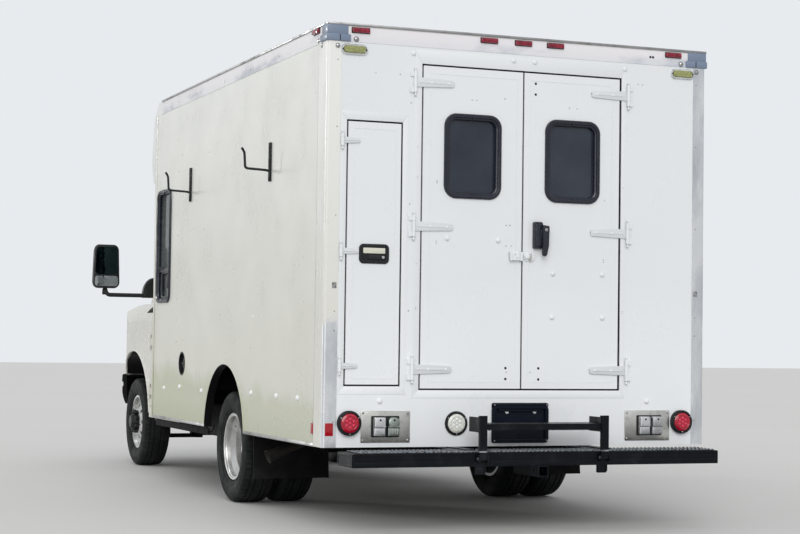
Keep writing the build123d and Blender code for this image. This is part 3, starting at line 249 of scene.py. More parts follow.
def paint(name, colour, inside=None, rough=0.30, grime=0.6, film=(0.47, 0.47, 0.36), hidden=None, painted_light_foot=None):
    """Painted sheet: faint waves, fine orange peel, a little dust and a dirty lower edge. A foot colour,
    where given, is painted light that makes the sheet lighter towards the bottom.
    """
    s = Surface(name, rough=rough, coat=0.25, Coat_Roughness=0.18)
    blotch = s.noise(0.9, 4)
    streak = s.noise(5.0, 5, stretch=(1.6, 1.6, 0.10))
    # Where a foot colour is given, the sheet is painted lighter towards the bottom: painted light
    base = colour if painted_light_foot is None else s.blend(s.span(s.axis("Z"), SKIRT, 1.45), painted_light_foot, colour)
    tint = s.blend(s.span(blotch, 0.35, 0.7, 0.0, 0.03), base, BLACK)
    tint = s.blend(s.times(s.span(streak, 0.60, 0.85), 0.09 * grime), tint, (0.45, 0.44, 0.39))
    ragged = s.free("ADD", s.axis("Z"), s.span(s.noise(2.6, 5), 0.2, 0.8, -0.10, 0.10))
    low = s.span(ragged, SKIRT + 0.34, SKIRT - 0.02)
    tint = s.blend(s.times(low, 0.62 * grime), tint, film)
    speck = s.times(s.span(s.noise(38, 3), 0.72, 0.80), 0.08 * grime)
    tint = s.blend(speck, tint, (0.34, 0.33, 0.30))
    if inside is not None:
        tint = s.blend(inside(s), tint, INSIDE_WHITE)
    if hidden is not None:
        dull = hidden(s)
        tint = s.blend(dull, tint, BLACK)
        s.deaden(dull)
    s.colour(tint)
    s.roughness(s.span(s.noise(3.5, 4), 0.3, 0.75, rough - 0.06, rough + 0.12))
    s.bump(s.noise(1.3, 2), 0.008, 0.35)
    s.bump(s.noise(260, 2), 0.0003, 0.08)


def side_paint(name, inner):
    """Ivory wall, whiter above, with an olive film along the skirt and a stain behind the front edge."""
    s = Surface(name, rough=0.30, coat=0.3, Coat_Roughness=0.16)
    height = s.axis("Z")
    tint = s.blend(s.span(height, SKIRT + 0.1, RAIL_LOW), (0.640, 0.632, 0.560), (0.770, 0.775, 0.735))
    tint = s.blend(s.times(s.span(s.noise(0.6, 2), 0.38, 0.7), 0.12), tint, (0.60, 0.60, 0.52))
    wavy = s.free("ADD", height, s.span(s.noise(2.4, 4, stretch=(1, 1, 0.6)), 0.25, 0.75, -0.085, 0.085))
    reach = s.span(s.axis("Y"), 2.9, -0.9, 0.0, 0.13)
    low = s.span(s.free("SUBTRACT", wavy, reach), 0.775, 0.650)
    strength = s.span(s.axis("Y"), 2.9, -0.6, 0.62, 1.0)
    deep = s.blend(s.span(height, SKIRT + 0.16, SKIRT), (0.470, 0.485, 0.345), (0.385, 0.410, 0.255))
    tint = s.blend(s.times(low, strength), tint, deep)
    stain = s.times(s.span(s.axis("Y"), -0.80, -0.93), s.span(wavy, 1.55, 1.15))
    tint = s.blend(s.times(stain, 0.55), tint, (0.44, 0.44, 0.31))
    around = s.times(s.span(s.radius_from(REAR_AXLE, REAR_ARCH_Z), 0.62, 0.47), 0.5)
    tint = s.blend(s.times(around, s.span(wavy, 0.95, 0.70)), tint, (0.42, 0.44, 0.30))
    speck = s.times(s.span(s.noise(30, 3), 0.76, 0.82), 0.05)
    tint = s.blend(speck, tint, (0.30, 0.29, 0.25))
    tint = s.blend(inner(s), tint, INSIDE_WHITE)
    lining = s.span(s.radius_from(REAR_AXLE, REAR_ARCH_Z), REAR_ARCH - 0.0020, REAR_ARCH - 0.0028)
    s.colour(s.blend(lining, tint, BLACK))
    s.deaden(lining, 0.3)
    s.roughness(s.span(s.noise(3.0, 4), 0.3, 0.75, 0.24, 0.40))
    s.bump(s.noise(0.9, 2), 0.006, 0.3)
    s.bump(s.noise(260, 2), 0.0003, 0.08)


def arch_inside(s):
    """The liner and the inner faces round a front wheel."""
    near = s.span(s.radius_from(FRONT_AXLE, FRONT_ARCH_Z), FRONT_ARCH + 0.0155, FRONT_ARCH + 0.0145)
    return s.times(near, s.span(s.free("ABSOLUTE", s.axis("X")), 0.9805, 0.9790))


def floor_sheet():
    """Grey vinyl above; tarred steel underneath and inside the wheel housings."""
    s = Surface("floor_vinyl", rough=0.5)
    tint = s.blend(s.span(s.noise(4, 5), 0.4, 0.7), (0.15, 0.16, 0.17), (0.11, 0.115, 0.12))
    tint = s.blend(s.span(s.noise(90, 2), 0.60, 0.64), tint, (0.26, 0.27, 0.28))
    aisle = s.times(s.within("Z", FLOOR_Z + 0.0015, FLOOR_Z + 0.006), s.within("X", -0.57, 0.61))
    tint = s.blend(aisle, tint, (0.42, 0.43, 0.44))
    below = s.span(s.axis("Z"), FLOOR_Z - 0.001, FLOOR_Z - 0.002)
    reach = REAR_ARCH + 0.001
    inside = s.times(s.span(s.axis("Z"), 0.9215, 0.9205), s.within("Y", REAR_AXLE - reach, REAR_AXLE + reach))
    inside = s.times(inside, s.span(s.free("ABSOLUTE", s.axis("X")), 0.6385, 0.6395))
    hidden = s.largest(below, inside)
    s.colour(s.blend(hidden, tint, BLACK))
    s.deaden(hidden, 0.0)
    s.bump(s.cells(55), 0.0010, 0.5)


def metal(name, colour, rough=0.35, scratch=0.6, dirt=0.3, coarse=24):
    """Bare metal with handling marks, fine scratches and dull patches."""
    s = Surface(name, rough=rough, metal=1.0)
    patch = s.span(s.noise(coarse * 0.25, 5), 0.40, 0.66)
    scratches = s.noise(coarse * 2, 6, stretch=(1, 1, 0.06))
    tint = s.blend(patch, colour, [c * 0.62 for c in colour])
    tint = s.blend(s.times(s.span(s.noise(coarse, 5), 0.58, 0.75), dirt), tint, (0.12, 0.11, 0.10))
    s.colour(tint)
    s.roughness(s.span(patch, 0, 1, rough - 0.1, rough + 0.2))
    s.bump(scratches, 0.0005, scratch * 0.5)
    s.bump(s.noise(coarse * 0.5, 3), 0.003, 0.25)


def dark(name, colour, rough=0.5, grain=220, dust=0.35, dust_colour=(0.20, 0.19, 0.17), depth=0.0004,
         shine=0.35):
    """Dark painted steel, plastic or rubber with grain and dust in its hollows."""
    s = Surface(name, rough=rough, Specular_IOR_Level=shine)
    cloud = s.span(s.noise(7, 5), 0.48, 0.74)
    tint = s.blend(s.times(cloud, dust), colour, dust_colour)
    s.colour(tint)
    s.roughness(s.span(s.noise(11, 4), 0.3, 0.7, rough - 0.08, rough + 0.12))
    s.bump(s.noise(grain, 3), depth, 0.6)


def lens(name, colour, glow=0.0, contrast=0.8, scale=95):
    """Moulded lens: small prisms under a hard gloss."""
    s = Surface(name, rough=0.16, coat=0.5, Coat_Roughness=0.04, Specular_IOR_Level=0.4)
    prism = s.cells(scale)
    bright = [min(1, c * 1.08 + glow) for c in colour]
    s.colour(s.blend(s.span(prism, 0.1, 0.75), bright, [c * contrast for c in colour]))
    s.bump(prism, 0.0010, 0.35)


def glass(name, colour, rough=0.03, through=0.55, shine=0.5):
    s = Surface(name, rough=rough, Transmission_Weight=through, IOR=1.45, Specular_IOR_Level=shine)
    film = s.span(s.noise(2.2, 5), 0.42, 0.75)
    s.colour(s.blend(film, colour, [min(1, c * 1.5 + 0.01) for c in colour]))
    s.roughness(s.span(s.noise(6, 5), 0.35, 0.8, rough, rough + 0.07))


def tyre_rubber():
    s = Surface("tyre_rubber", rough=0.72, Specular_IOR_Level=0.22)
    dusty = s.span(s.noise(9, 5), 0.42, 0.72)
    s.colour(s.blend(s.times(dusty, 0.5), (0.006, 0.0075, 0.008), (0.034, 0.034, 0.032)))
    s.roughness(s.span(s.noise(14, 3), 0.3, 0.7, 0.62, 0.86))
    s.bump(s.noise(180, 3), 0.0006, 0.6)


def cloth():
    """Woven seat cloth, warp and weft crossing."""
    s = Surface("seat_cloth", rough=0.9, Sheen_Weight=0.25, Sheen_Roughness=0.5)
    warp = s.wave(190, "X", 1.5)
    weft = s.wave(190, "Y", 1.5)
    upright = s.wave(190, "Z", 1.5)
    weave = s.times(s.free("ADD", warp, upright, True), weft)
    shade = s.blend(s.span(s.noise(5, 4), 0.35, 0.7), (0.055, 0.060, 0.070), (0.085, 0.090, 0.100))
    s.colour(s.blend(weave, shade, (0.030, 0.033, 0.040)))
    s.bump(weave, 0.0008, 0.7)
    s.bump(s.noise(7, 3), 0.006, 0.3)


def vinyl():
    """Soft vinyl with a leather grain."""
    s = Surface("bench_vinyl", rough=0.42)
    grain = s.cells(330)
    s.colour(s.blend(s.span(s.noise(6, 4), 0.4, 0.7), (0.045, 0.050, 0.062), (0.070, 0.076, 0.090)))
    s.roughness(s.span(s.noise(20, 3), 0.3, 0.7, 0.36, 0.52))
    s.bump(grain, 0.0006, 0.5)


def rail_metal():
    """White rail, slightly pink, with pale rubbed patches along it."""
    s = Surface("rail_paint", rough=0.32, coat=0.2)
    worn = s.span(s.noise(1.5, 5, stretch=(1, 1, 2.6), rough=0.6), 0.50, 0.62)
    lower = s.span(s.axis("Z"), RAIL_LOW + 0.060, RAIL_LOW + 0.030)
    tint = s.blend(s.span(s.axis("Z"), RAIL_LOW, RAIL_TOP), (0.70, 0.70, 0.725), (0.79, 0.76, 0.775))
    tint = s.blend(s.times(s.times(worn, lower), 0.75), tint, (0.46, 0.49, 0.55))
    # Darker band along the top edge of the rail, just under the roof lip: painted shade
    edge = s.span(s.axis("Z"), RAIL_TOP - 0.016, RAIL_TOP - 0.004)
    tint = s.blend(s.times(edge, 0.5), tint, (0.34, 0.34, 0.33))
    s.colour(tint)
    s.roughness(s.span(worn, 0, 1, 0.36, 0.22))
    s.bump(s.noise(5, 4), 0.003, 0.4)


def post_metal():
    """Polished corner posts: scuffed, and the left one still painted white above."""
    s = Surface("post_aluminium", rough=0.2)
    left = s.span(s.axis("X"), -0.1, 0.1)
    edge = s.free("ADD", s.axis("Z"), s.span(s.noise(5, 4), 0.3, 0.7, -0.10, 0.10))
    painted = s.times(left, s.span(edge, 1.14, 1.18))
    on_side = s.span(s.axis("Y"), REAR - 0.020, REAR - 0.028)
    painted = s.largest(painted, s.times(left, on_side))
    smear = s.noise(6, 5, stretch=(1, 1, 0.35), rough=0.6)
    bare = s.blend(s.span(smear, 0.40, 0.66), (0.87, 0.89, 0.91), (0.54, 0.57, 0.61))
    bare = s.blend(s.span(s.noise(19, 5, stretch=(1, 1, 0.25)), 0.60, 0.74), bare, (0.92, 0.93, 0.95))
    ivory = s.blend(s.span(s.axis("Z"), 1.1, 2.6), (0.68, 0.67, 0.62), (0.78, 0.78, 0.75))
    s.colour(s.blend(painted, bare, ivory))
    s.feed(s.shader.inputs["Metallic"], s.span(painted, 0, 1, 0.85, 0.0))
    s.roughness(s.span(smear, 0.3, 0.7, 0.20, 0.40))
    s.bump(s.noise(8, 5, stretch=(1, 1, 0.4)), 0.004, 0.4)


def bumper_steel():
    """Black bumper and step: wet-looking satin paint, with the points of its teeth lighter, partly worn to
    dull steel and partly a painted highlight.
    """
    s = Surface("bumper_black", rough=0.36, Specular_IOR_Level=0.14)
    tint = s.blend(s.span(s.noise(9, 5), 0.50, 0.75), (0.0030, 0.0042, 0.0065), (0.012, 0.014, 0.018))
    worn = s.span(s.noise(60, 3), 0.30, 0.55)
    # The top edges of the teeth go lighter grey: partly worn steel, partly a painted highlight
    tip_wear_and_highlight = s.times(s.within("Z", 0.4620, 0.4680, 0.0020), worn)
    s.colour(s.blend(tip_wear_and_highlight, tint, (0.27, 0.29, 0.31)))
    s.roughness(s.span(s.noise(11, 4), 0.3, 0.7, 0.26, 0.46))
    s.bump(s.noise(150, 3), 0.0004, 0.5)


def inner_left(s):
    return s.span(s.axis("X"), SIDE - 0.004, SIDE - 0.006)


def inner_right(s):
    return s.span(s.axis("X"), 0.006 - SIDE, 0.004 - SIDE)


def inner_rear(s):
    return s.span(s.axis("Y"), REAR - 0.004, REAR - 0.006)


WHITE_REAR = (0.745, 0.765, 0.775)
WHITE_CAB = (0.700, 0.690, 0.640)
# Lighter white for the bottom of the rear face: painted light where the bumper shades it
REAR_PAINTED_LIGHT_FOOT = (0.855, 0.872, 0.885)


def make_materials():
    """Each call files its material in MAT."""
    side_paint("left_paint", inner_left)
    side_paint("right_paint", inner_right)
    paint("rear_paint", WHITE_REAR, inner_rear, grime=0.14, film=GREY_FILM, painted_light_foot=REAR_PAINTED_LIGHT_FOOT)
    paint("trim_paint", WHITE_REAR, grime=0.12, film=GREY_FILM, painted_light_foot=REAR_PAINTED_LIGHT_FOOT)
    # Hinge-strap paint, greyer than the door: partly the straps' own tone, partly painted shade that sets
    # them off the door
    paint("strap_grey_painted_shade", (0.655, 0.675, 0.690), rough=0.34, grime=0.3, film=GREY_FILM)
    paint("cab_paint", WHITE_CAB, rough=0.24, grime=0.4, hidden=arch_inside)
    paint("lip_white", WHITE_CAB, rough=0.3, grime=0.3)
    paint("cap_paint", (0.73, 0.74, 0.74), rough=0.30, grime=0.3)
    paint("roof_paint", (0.56, 0.56, 0.55), rough=0.45, grime=0.9)
    rail_metal()
    post_metal()
    metal("lip_aluminium", (0.42, 0.42, 0.42), 0.42)
    paint("casting_blue", (0.17, 0.215, 0.30), rough=0.42, grime=0.8)
    metal("aluminium", (0.60, 0.61, 0.62), 0.34)
    metal("plate_steel", (0.66, 0.66, 0.63), 0.38, dirt=0.35)
    metal("chrome", (0.82, 0.83, 0.84), 0.16, scratch=0.2, dirt=0.15)
    metal("rim_silver", (0.70, 0.70, 0.69), 0.34, dirt=0.40, coarse=12)
    metal("rim_bright", (0.78, 0.78, 0.77), 0.24, dirt=0.25, coarse=12)
    metal("bolt_steel", (0.50, 0.50, 0.50), 0.35, dirt=0.3, coarse=60)
    dark("exhaust_steel", (0.010, 0.009, 0.009), 0.66, 70, 0.5, (0.050, 0.040, 0.032), shine=0.25)
    metal("cast_iron", (0.13, 0.12, 0.11), 0.75, dirt=0.6)
    dark("chassis_black", (0.006, 0.006, 0.007), 0.62, 90, 0.4, (0.032, 0.029, 0.026), shine=0.15)
    bumper_steel()
    dark("rubber", (0.007, 0.008, 0.010), 0.55, 260, 0.2, (0.045, 0.045, 0.045), shine=0.25)
    dark("frame_black", (0.009, 0.012, 0.022), 0.22, 260, 0.1, (0.05, 0.055, 0.07), shine=0.5)
    dark("plastic_black", (0.009, 0.010, 0.011), 0.45, 320, 0.2, GREY_DUST, shine=0.3)
    dark("plate_black", (0.003, 0.006, 0.013), 0.32, 320, 0.08, (0.03, 0.034, 0.045), shine=0.16)
    dark("trim_grey", (0.11, 0.11, 0.12), 0.62, 340, 0.15, (0.16, 0.16, 0.16))
    dark("hook_black", (0.007, 0.009, 0.010), 0.40, 200, 0.15, GREY_DUST, shine=0.3)
    dark("liner_black", (0.007, 0.007, 0.008), 0.8, 60, 0.4, (0.035, 0.033, 0.03), shine=0.15)
    tyre_rubber()
    cloth()
    vinyl()
    paint("laminate", (0.60, 0.61, 0.58), rough=0.4, grime=0.0)
    floor_sheet()
    lens("red_lens", (0.46, 0.006, 0.030), 0.0, 0.75, 60)
    lens("red_dot", (0.70, 0.020, 0.085), 0.01, 0.9, 200)
    lens("white_dot", (0.86, 0.86, 0.84), 0.0, 0.92, 200)
    lens("red_marker", (0.30, 0.008, 0.032), 0.0, 0.45, 45)
    lens("reflector", (0.42, 0.004, 0.014))
    lens("amber_lens", (0.33, 0.345, 0.13), 0.0, 0.7, 70)
    lens("orange_lens", (0.60, 0.16, 0.01))
    lens("clear_lens", (0.74, 0.745, 0.69), 0.0, 0.86, 60)
    glass("lamp_glass", (0.80, 0.82, 0.84), 0.05, 0.8)
    glass("dark_glass", (0.022, 0.029, 0.044), 0.02, 0.20, 0.60)
    glass("smoked_lens", (0.90, 0.92, 0.94), 0.02, 0.95)
    dark("radiator", (0.012, 0.012, 0.012), 0.6, 120, 0.4, (0.05, 0.05, 0.045), shine=0.2)
    glass("windshield_glass", (0.42, 0.47, 0.46), 0.02, 0.85)
    # Mirror glass coloured like what it reflects: a dark painted reflection for the outer mirrors, a paler
    # painted reflection for the low pane and the inside mirror
    metal("mirror_painted_dark_reflection", (0.020, 0.036, 0.038), 0.07, scratch=0.0, dirt=0.05)
    metal("mirror_painted_pale_reflection", (0.42, 0.46, 0.48), 0.10, scratch=0.0, dirt=0.05)
    metal("key_metal", (0.66, 0.66, 0.64), 0.3, coarse=90)
    paint("pale_insert", (0.62, 0.62, 0.52), rough=0.45, grime=0.0)
    metal("cover_grey", (0.74, 0.75, 0.77), 0.40, dirt=0.15, coarse=40)
    metal("cover_green", (0.38, 0.43, 0.40), 0.42, dirt=0.4, coarse=40)


# Shape kit: outlines on a face of the vehicle, and pieces that collect them

def facing_x(x, way=1):
    """A face across X, looking along way: u is y, v is z, d stands out of it."""
    return lambda u, v, d: Vector((x + way * d, u, v))


def facing_y(y, way=1):
    """A face across Y: u is x, v is z."""
    return lambda u, v, d: Vector((u, y + way * d, v))


def facing_z(z, way=1):
    """A face across Z: u is x, v is y."""
    return lambda u, v, d: Vector((u, v, z + way * d))


def lifted(place, out):
    """The same face, further out."""
    return lambda u, v, d: place(u, v, d + out)


on_rear = facing_y(REAR)
on_left = facing_x(SIDE)
on_right = facing_x(-SIDE, -1)


def arc(u, v, radius, start, turn, steps):
    """Points on a circle about (u, v), from start through turn, in degrees."""
    angles = [math.radians(start + turn * k / steps) for k in range(steps + 1)]
    return [(u + radius * math.cos(angle), v + radius * math.sin(angle)) for angle in angles]


def circle(u, v, radius, count, start=0.0):
    return arc(u, v, radius, start, 360, count)[:-1]


def rect(u, v, radius, steps=6):
    """Rounded rectangle from two (low, high) pairs, as a function of how far it is grown."""
    def outline(grow=0.0):
        round_r = max(radius + grow, 0.0003)
        inset = round_r - grow
        points = []
        for place_u, place_v, start in ((max(u) - inset, max(v) - inset, 0),
                                        (min(u) + inset, max(v) - inset, 90),
                                        (min(u) + inset, min(v) + inset, 180),
                                        (max(u) - inset, min(v) + inset, 270)):
            points += arc(place_u, place_v, round_r, start, 90, steps)
        return points
    return outline


def disc(u, v, radius, steps=24):
    return lambda grow=0.0: circle(u, v, max(radius + grow, 0.0002), steps)


def dense(outline, step=0.03):
    """The same outline with points added along its long sides, for laying on a curved skin."""
    first = outline(0.0)
    counts = [max(1, int(math.dist(a, b) / step)) for a, b in zip(first, first[1:] + first[:1])]

    def finer(grow=0.0):
        points = outline(grow)
        made = []
        for a, b, count in zip(points, points[1:] + points[:1], counts):
            made += [(a[0] + (b[0] - a[0]) * k / count, a[1] + (b[1] - a[1]) * k / count)
                     for k in range(count)]
        return made
    return finer


def raised(height, edge=0.002, base=0.0):
    """A plate's profile: straight sides and a softened top edge, as (grow, depth) pairs."""
    edge = min(edge, height * 0.6)
    return [(0, base), (0, base + height - edge), (-edge * 0.3, base + height - edge * 0.3),
            (-edge, base + height)]


def dome(height, radius):
    """A screw head's profile."""
    return [(0, 0), (-radius * 0.10, height * 0.45), (-radius * 0.35, height * 0.80),
            (-radius * 0.65, height * 0.95), (-radius * 0.98, height)]


def cuboid(corner, opposite):
    """A plain block between two corners."""
    low, high = zip(*[sorted(pair) for pair in zip(corner, opposite)])
    part = bmesh.new()
    bmesh.ops.create_cube(part, size=1)
    for vert in part.verts:
        vert.co = [low[i] + (vert.co[i] + 0.5) * (high[i] - low[i]) for i in range(3)]
    return part


def hoop(centre, way, across, radius, steps):
    """A ring of points about way, the first of them towards across."""
    other = way.cross(across)
    return [centre + (across * math.cos(2 * math.pi * k / steps)
                      + other * math.sin(2 * math.pi * k / steps)) * radius for k in range(steps)]


class Piece:
    """Collects closed shapes, each with a material, into one object that rides on one body."""

    def __init__(self, name, body=BODY, slot=None, replaces=()):
        self.name = name
        self.body = body
        self.slot = slot
        self.replaces = replaces
        self.mesh = bmesh.new()
        self.materials = []

    def take(self, part, material):
        """Adds a finished bmesh in one material."""
        if material not in self.materials:
            self.materials.append(material)
        slot = self.materials.index(material)
        bmesh.ops.recalc_face_normals(part, faces=part.faces)
        for face in part.faces:
            face.material_index = slot
            face.smooth = True
        passing = bpy.data.meshes.new("passing")
        part.to_mesh(passing)
        part.free()
        self.mesh.from_mesh(passing)
        bpy.data.meshes.remove(passing)
        return self

    def loops(self, rows, material, ring=False, ends=True):
        """Skins rows of points. A ring joins the last row to the first."""
        part = bmesh.new()
        made = [[part.verts.new(point) for point in row] for row in rows]
        count = len(rows[0])
        pairs = list(zip(made, made[1:]))
        if ring:
            pairs.append((made[-1], made[0]))
        for low, high in pairs:
            for k in range(count):
                after = (k + 1) % count
                part.faces.new((low[k], low[after], high[after], high[k]))
        if ends and not ring:
            part.faces.new(made[0])
            part.faces.new(made[-1])
        return self.take(part, material)

    def shape(self, place, outline, profile, material, ring=False):
        """An outline grown and raised through a profile of (grow, depth) pairs on a face."""
        rows = [[place(u, v, depth) for u, v in outline(grow)] for grow, depth in profile]
        return self.loops(rows, material, ring)

    def plate(self, place, points, low, high, material, bevel=0.0015):
        """A flat polygon pushed out from depth low to high, with softened edges."""
        part = bmesh.new()
        bottom = [part.verts.new(place(u, v, low)) for u, v in points]
        top = [part.verts.new(place(u, v, high)) for u, v in points]
        part.faces.new(bottom)
        part.faces.new(top)
        for k in range(len(points)):
            after = (k + 1) % len(points)
            part.faces.new((bottom[k], bottom[after], top[after], top[k]))
        if bevel:
            edges = [e for e in part.edges if all(v in top for v in e.verts)]
            bmesh.ops.bevel(part, geom=edges, offset=bevel, segments=2, profile=0.5, affect="EDGES")
        return self.take(part, material)

    def box(self, corner, opposite, material, bevel=0.003):
        part = cuboid(corner, opposite)
        if bevel:
            thin = min(abs(a - b) for a, b in zip(corner, opposite))
            bmesh.ops.bevel(part, geom=part.edges[:], offset=min(bevel, thin * 0.45), segments=2, profile=0.5,
                            affect="EDGES")
        return self.take(part, material)

    def turned(self, profile, centre, axis, material, steps=48, ring=False):
        """A profile of (along, radius) pairs turned about an axis."""
        way = Vector(axis).normalized()
        across = way.orthogonal().normalized()
        rows = [hoop(Vector(centre) + way * along, way, across, max(radius, 0.0002), steps)
                for along, radius in profile]
        return self.loops(rows, material, ring)

    def pipe(self, path, radius, material, sides=12):
        """A round bar along a path; radius may be one number or one for each point."""
        points = [Vector(p) for p in path]
        radii = radius if hasattr(radius, "__len__") else [radius] * len(points)
        rows = []
        across = None
        for k, point in enumerate(points):
            way = (points[min(k + 1, len(points) - 1)] - points[max(k - 1, 0)]).normalized()
            across = way.orthogonal() if across is None else across - way * across.dot(way)
            across.normalize()
            rows.append(hoop(point, way, across, radii[k], sides))
        return self.loops(rows, material)

    def done(self, sharp=32):
        data = bpy.data.meshes.new(self.name)
        self.mesh.to_mesh(data)
        self.mesh.free()
        for material in self.materials:
            data.materials.append(MAT[material])
        data.set_sharp_from_angle(angle=math.radians(sharp))
        thing = bpy.data.objects.new(self.name, data)
        bpy.context.scene.collection.objects.link(thing)
        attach(thing, self.body)
        if self.replaces:
            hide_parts(*self.replaces)
        return thing


def bent(corners, radius, steps=6):
    """A path through corners, each rounded by an arc-like curve."""
    points = [Vector(c) for c in corners]
    path = [points[0]]
    for before, corner, after in zip(points, points[1:], points[2:]):
        reach = min(radius, (corner - before).length * 0.45, (after - corner).length * 0.45)
        start = corner + (before - corner).normalized() * reach
        end = corner + (after - corner).normalized() * reach
        for step in range(steps + 1):
            t = step / steps
            path.append(start * (1 - t) ** 2 + corner * 2 * t * (1 - t) + end * t * t)
    return path + [points[-1]]


def dress(node, material, soften=0.0):
    """Gives a CAD node its material, and optionally a softened edge."""
    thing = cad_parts[node]
    thing.data.materials.clear()
    thing.data.materials.append(MAT[material])
    if soften:
        bevel = thing.modifiers.new("soft_edges", "BEVEL")
        bevel.width = soften
        bevel.segments = 2
        bevel.limit_method = "ANGLE"
        bevel.angle_limit = math.radians(40)
        bevel.harden_normals = False


# CAD nodes and their surfaces: node, material

DRESSING = (("left_wall", "left_paint"), ("right_wall", "right_paint"), ("entry_door", "right_paint"),
            ("rear_wall", "rear_paint"), ("rear_door_left", "rear_paint"), ("rear_door_right", "rear_paint"),
            ("compartment_door", "rear_paint"), ("top_rails", "rail_paint"),
            ("corner_posts", "post_aluminium"), ("roof_panel", "roof_paint"), ("front_cap", "cap_paint"),
            ("front_wall", "laminate"), ("body_floor", "floor_vinyl"), ("cabinets", "laminate"),
            ("cab_shell", "cab_paint"), ("hood", "cab_paint"), ("fenders", "cab_paint"),
            ("grille_panel", "plastic_black"), ("headlamps", "lamp_glass"),
            ("fixed_panes", "windshield_glass"), ("dashboard", "trim_grey"),
            ("steering_wheel", "plastic_black"), ("chassis_frame", "chassis_black"),
            ("engine_block", "cast_iron"), ("front_crossmember", "chassis_black"),
            ("rear_axle", "chassis_black"), ("propshaft", "chassis_black"), ("exhaust", "exhaust_steel"),
            ("fuel_tank", "chassis_black"), ("rear_bumper", "bumper_black"), ("folding_step", "bumper_black"),
            ("side_hooks", "hook_black"), ("tail_lamps", "rubber"), ("knuckle_left", "cast_iron"),
            ("knuckle_right", "cast_iron"), ("front_rim_left", "rim_bright"),
            ("front_rim_right", "rim_bright"), ("rear_rims_left", "rim_silver"),
            ("rear_rims_right", "rim_silver"), ("cab_door_left", "cab_paint"),
            ("cab_door_right", "cab_paint"), ("cab_pane_left", "windshield_glass"),
            ("cab_pane_right", "windshield_glass"), ("rear_pane_left", "dark_glass"),
            ("rear_pane_right", "dark_glass"),)


# Rear face

LAMP_X, LAMP_Z = 1.066, 0.612
DOOR_TRIM = (-0.678, 0.689, 0.753, 2.750)
DOOR_GAP = (-0.649, 0.645, 0.798, 2.671)
BOX_TRIM = (0.726, 1.138, 0.773, 2.372)
BOX_GAP = (0.759, 1.100, 0.819, 2.325)
TRIM_OUT = 0.0016
WINDOW = (0.141, 0.504, 1.903, 2.397)
WINDOW_FRAME = 0.036


def trim_frames():
    """Flat aluminium frames round both openings, mitred below."""
    piece = Piece("rear_trim_frames", slot="white_paint")
    for outer, inner in ((DOOR_TRIM, DOOR_GAP), (BOX_TRIM, BOX_GAP)):
        ox0, ox1, oz0, oz1 = outer
        ix0, ix1, iz0, iz1 = inner
        cut = 0.0008
        strips = (
            [(ox0, oz0), (ox1, oz0), (ix1, iz0), (ix0, iz0)],
            [(ox0, oz0 + cut), (ix0, iz0 + cut), (ix0, iz1 - cut), (ox0, oz1 - cut)],
            [(ox1, oz0 + cut), (ox1, oz1 - cut), (ix1, iz1 - cut), (ix1, iz0 + cut)],
            [(ox0, oz1), (ix0, iz1), (ix1, iz1), (ox1, oz1)])
        for strip in strips:
            piece.plate(on_rear, strip, 0.0, TRIM_OUT, "trim_paint", 0.0006)
    return piece.done()


def gap_seal(piece, place, u0, u1, v0, v1):
    """Black rubber set back in the gap round a door."""
    width = 0.0045
    hole = rect((u0 + width, u1 - width), (v0 + width, v1 - width), 0.001, 1)
    piece.shape(place, hole, [(0, -0.045), (0, -0.006), (width - 0.0002, -0.006), (width - 0.0002, -0.045)],
                "rubber", ring=True)


def rear_seals():
    piece = Piece("rear_door_seals", slot="black_plastic")
    for opening in (DOOR_GAP, BOX_GAP):
        gap_seal(piece, on_rear, *opening)
    return piece.done()


def door_seal_strip():
    """The overlapping lip down the middle, carried by the left door."""
    piece = Piece("centre_seal", "rear_door_left", "black_plastic")
    piece.box((-0.0005, REAR - 0.040, 0.812), (0.0048, REAR - 0.004, 2.657), "rubber", 0.001)
    return piece.done()


def window_frame(name, body, place, opening, depth_in, material="frame_black"):
    """Rubber-framed window: a stepped ring outside, a flat clamp ring inside."""
    u0, u1, v0, v1 = opening
    edge = WINDOW_FRAME
    glass_line = rect((u0 + edge, u1 - edge), (v0 + edge, v1 - edge), 0.040, 8)
    piece = Piece(name, body, "black_plastic")
    profile = [(0.003, -0.020), (-0.001, -0.004), (0.002, 0.003), (0.010, 0.006), (0.013, 0.0125),
               (0.020, 0.0150), (0.029, 0.0145), (0.034, 0.010), (0.036, 0.0005), (0.012, 0.0003),
               (0.012, -0.020)]
    piece.shape(place, glass_line, profile, material, ring=True)
    inner = [(0.000, depth_in), (0.000, depth_in - 0.007), (0.004, depth_in - 0.010),
             (0.034, depth_in - 0.010), (0.036, depth_in - 0.007), (0.036, depth_in)]
    piece.shape(place, glass_line, inner, material, ring=True)
    # The joint in the rubber at top and bottom
    middle = (u0 + u1) / 2
    for v in (v0 + 0.002, v1 - 0.032):
        piece.shape(place, rect((middle - 0.006, middle + 0.006), (v, v + 0.030), 0.002, 2),
                    raised(0.0165, 0.001), material)
    return piece.done()


def rear_windows():
    for side, body in ((1, "rear_door_left"), (-1, "rear_door_right")):
        low, high = sorted((side * WINDOW[0], side * WINDOW[1]))
        window_frame(f"{body}_window", body, on_rear, (low, high, WINDOW[2], WINDOW[3]), -WALL)


def skin_lines():
    """The hem that shows as a faint line inside each door's edge."""
    # Body, x low, x high, z low, z high of the hem line
    doors = (("rear_door_left", 0.040, 0.590, 0.845, 2.620), ("rear_door_right", -0.590, -0.040, 0.845,
                                                              2.620), ("compartment_door", 0.800, 1.055,
                                                                       0.862, 2.280))
    for body, x0, x1, z0, z1 in doors:
        piece = Piece(f"{body}_hem", body, "white_paint")
        line = rect((x0, x1), (z0, z1), 0.004, 2)
        piece.shape(on_rear, line, [(0, 0), (0, 0.0014), (-0.0035, 0.0014), (-0.0035, 0)], "trim_paint",
                    ring=True)
        piece.done()


def screws(piece, place, spots, radius, height, material, steps=14):
    """Low domes at some places on a face."""
    for u, v in spots:
        piece.shape(place, disc(u, v, radius, steps), dome(height, radius), material)


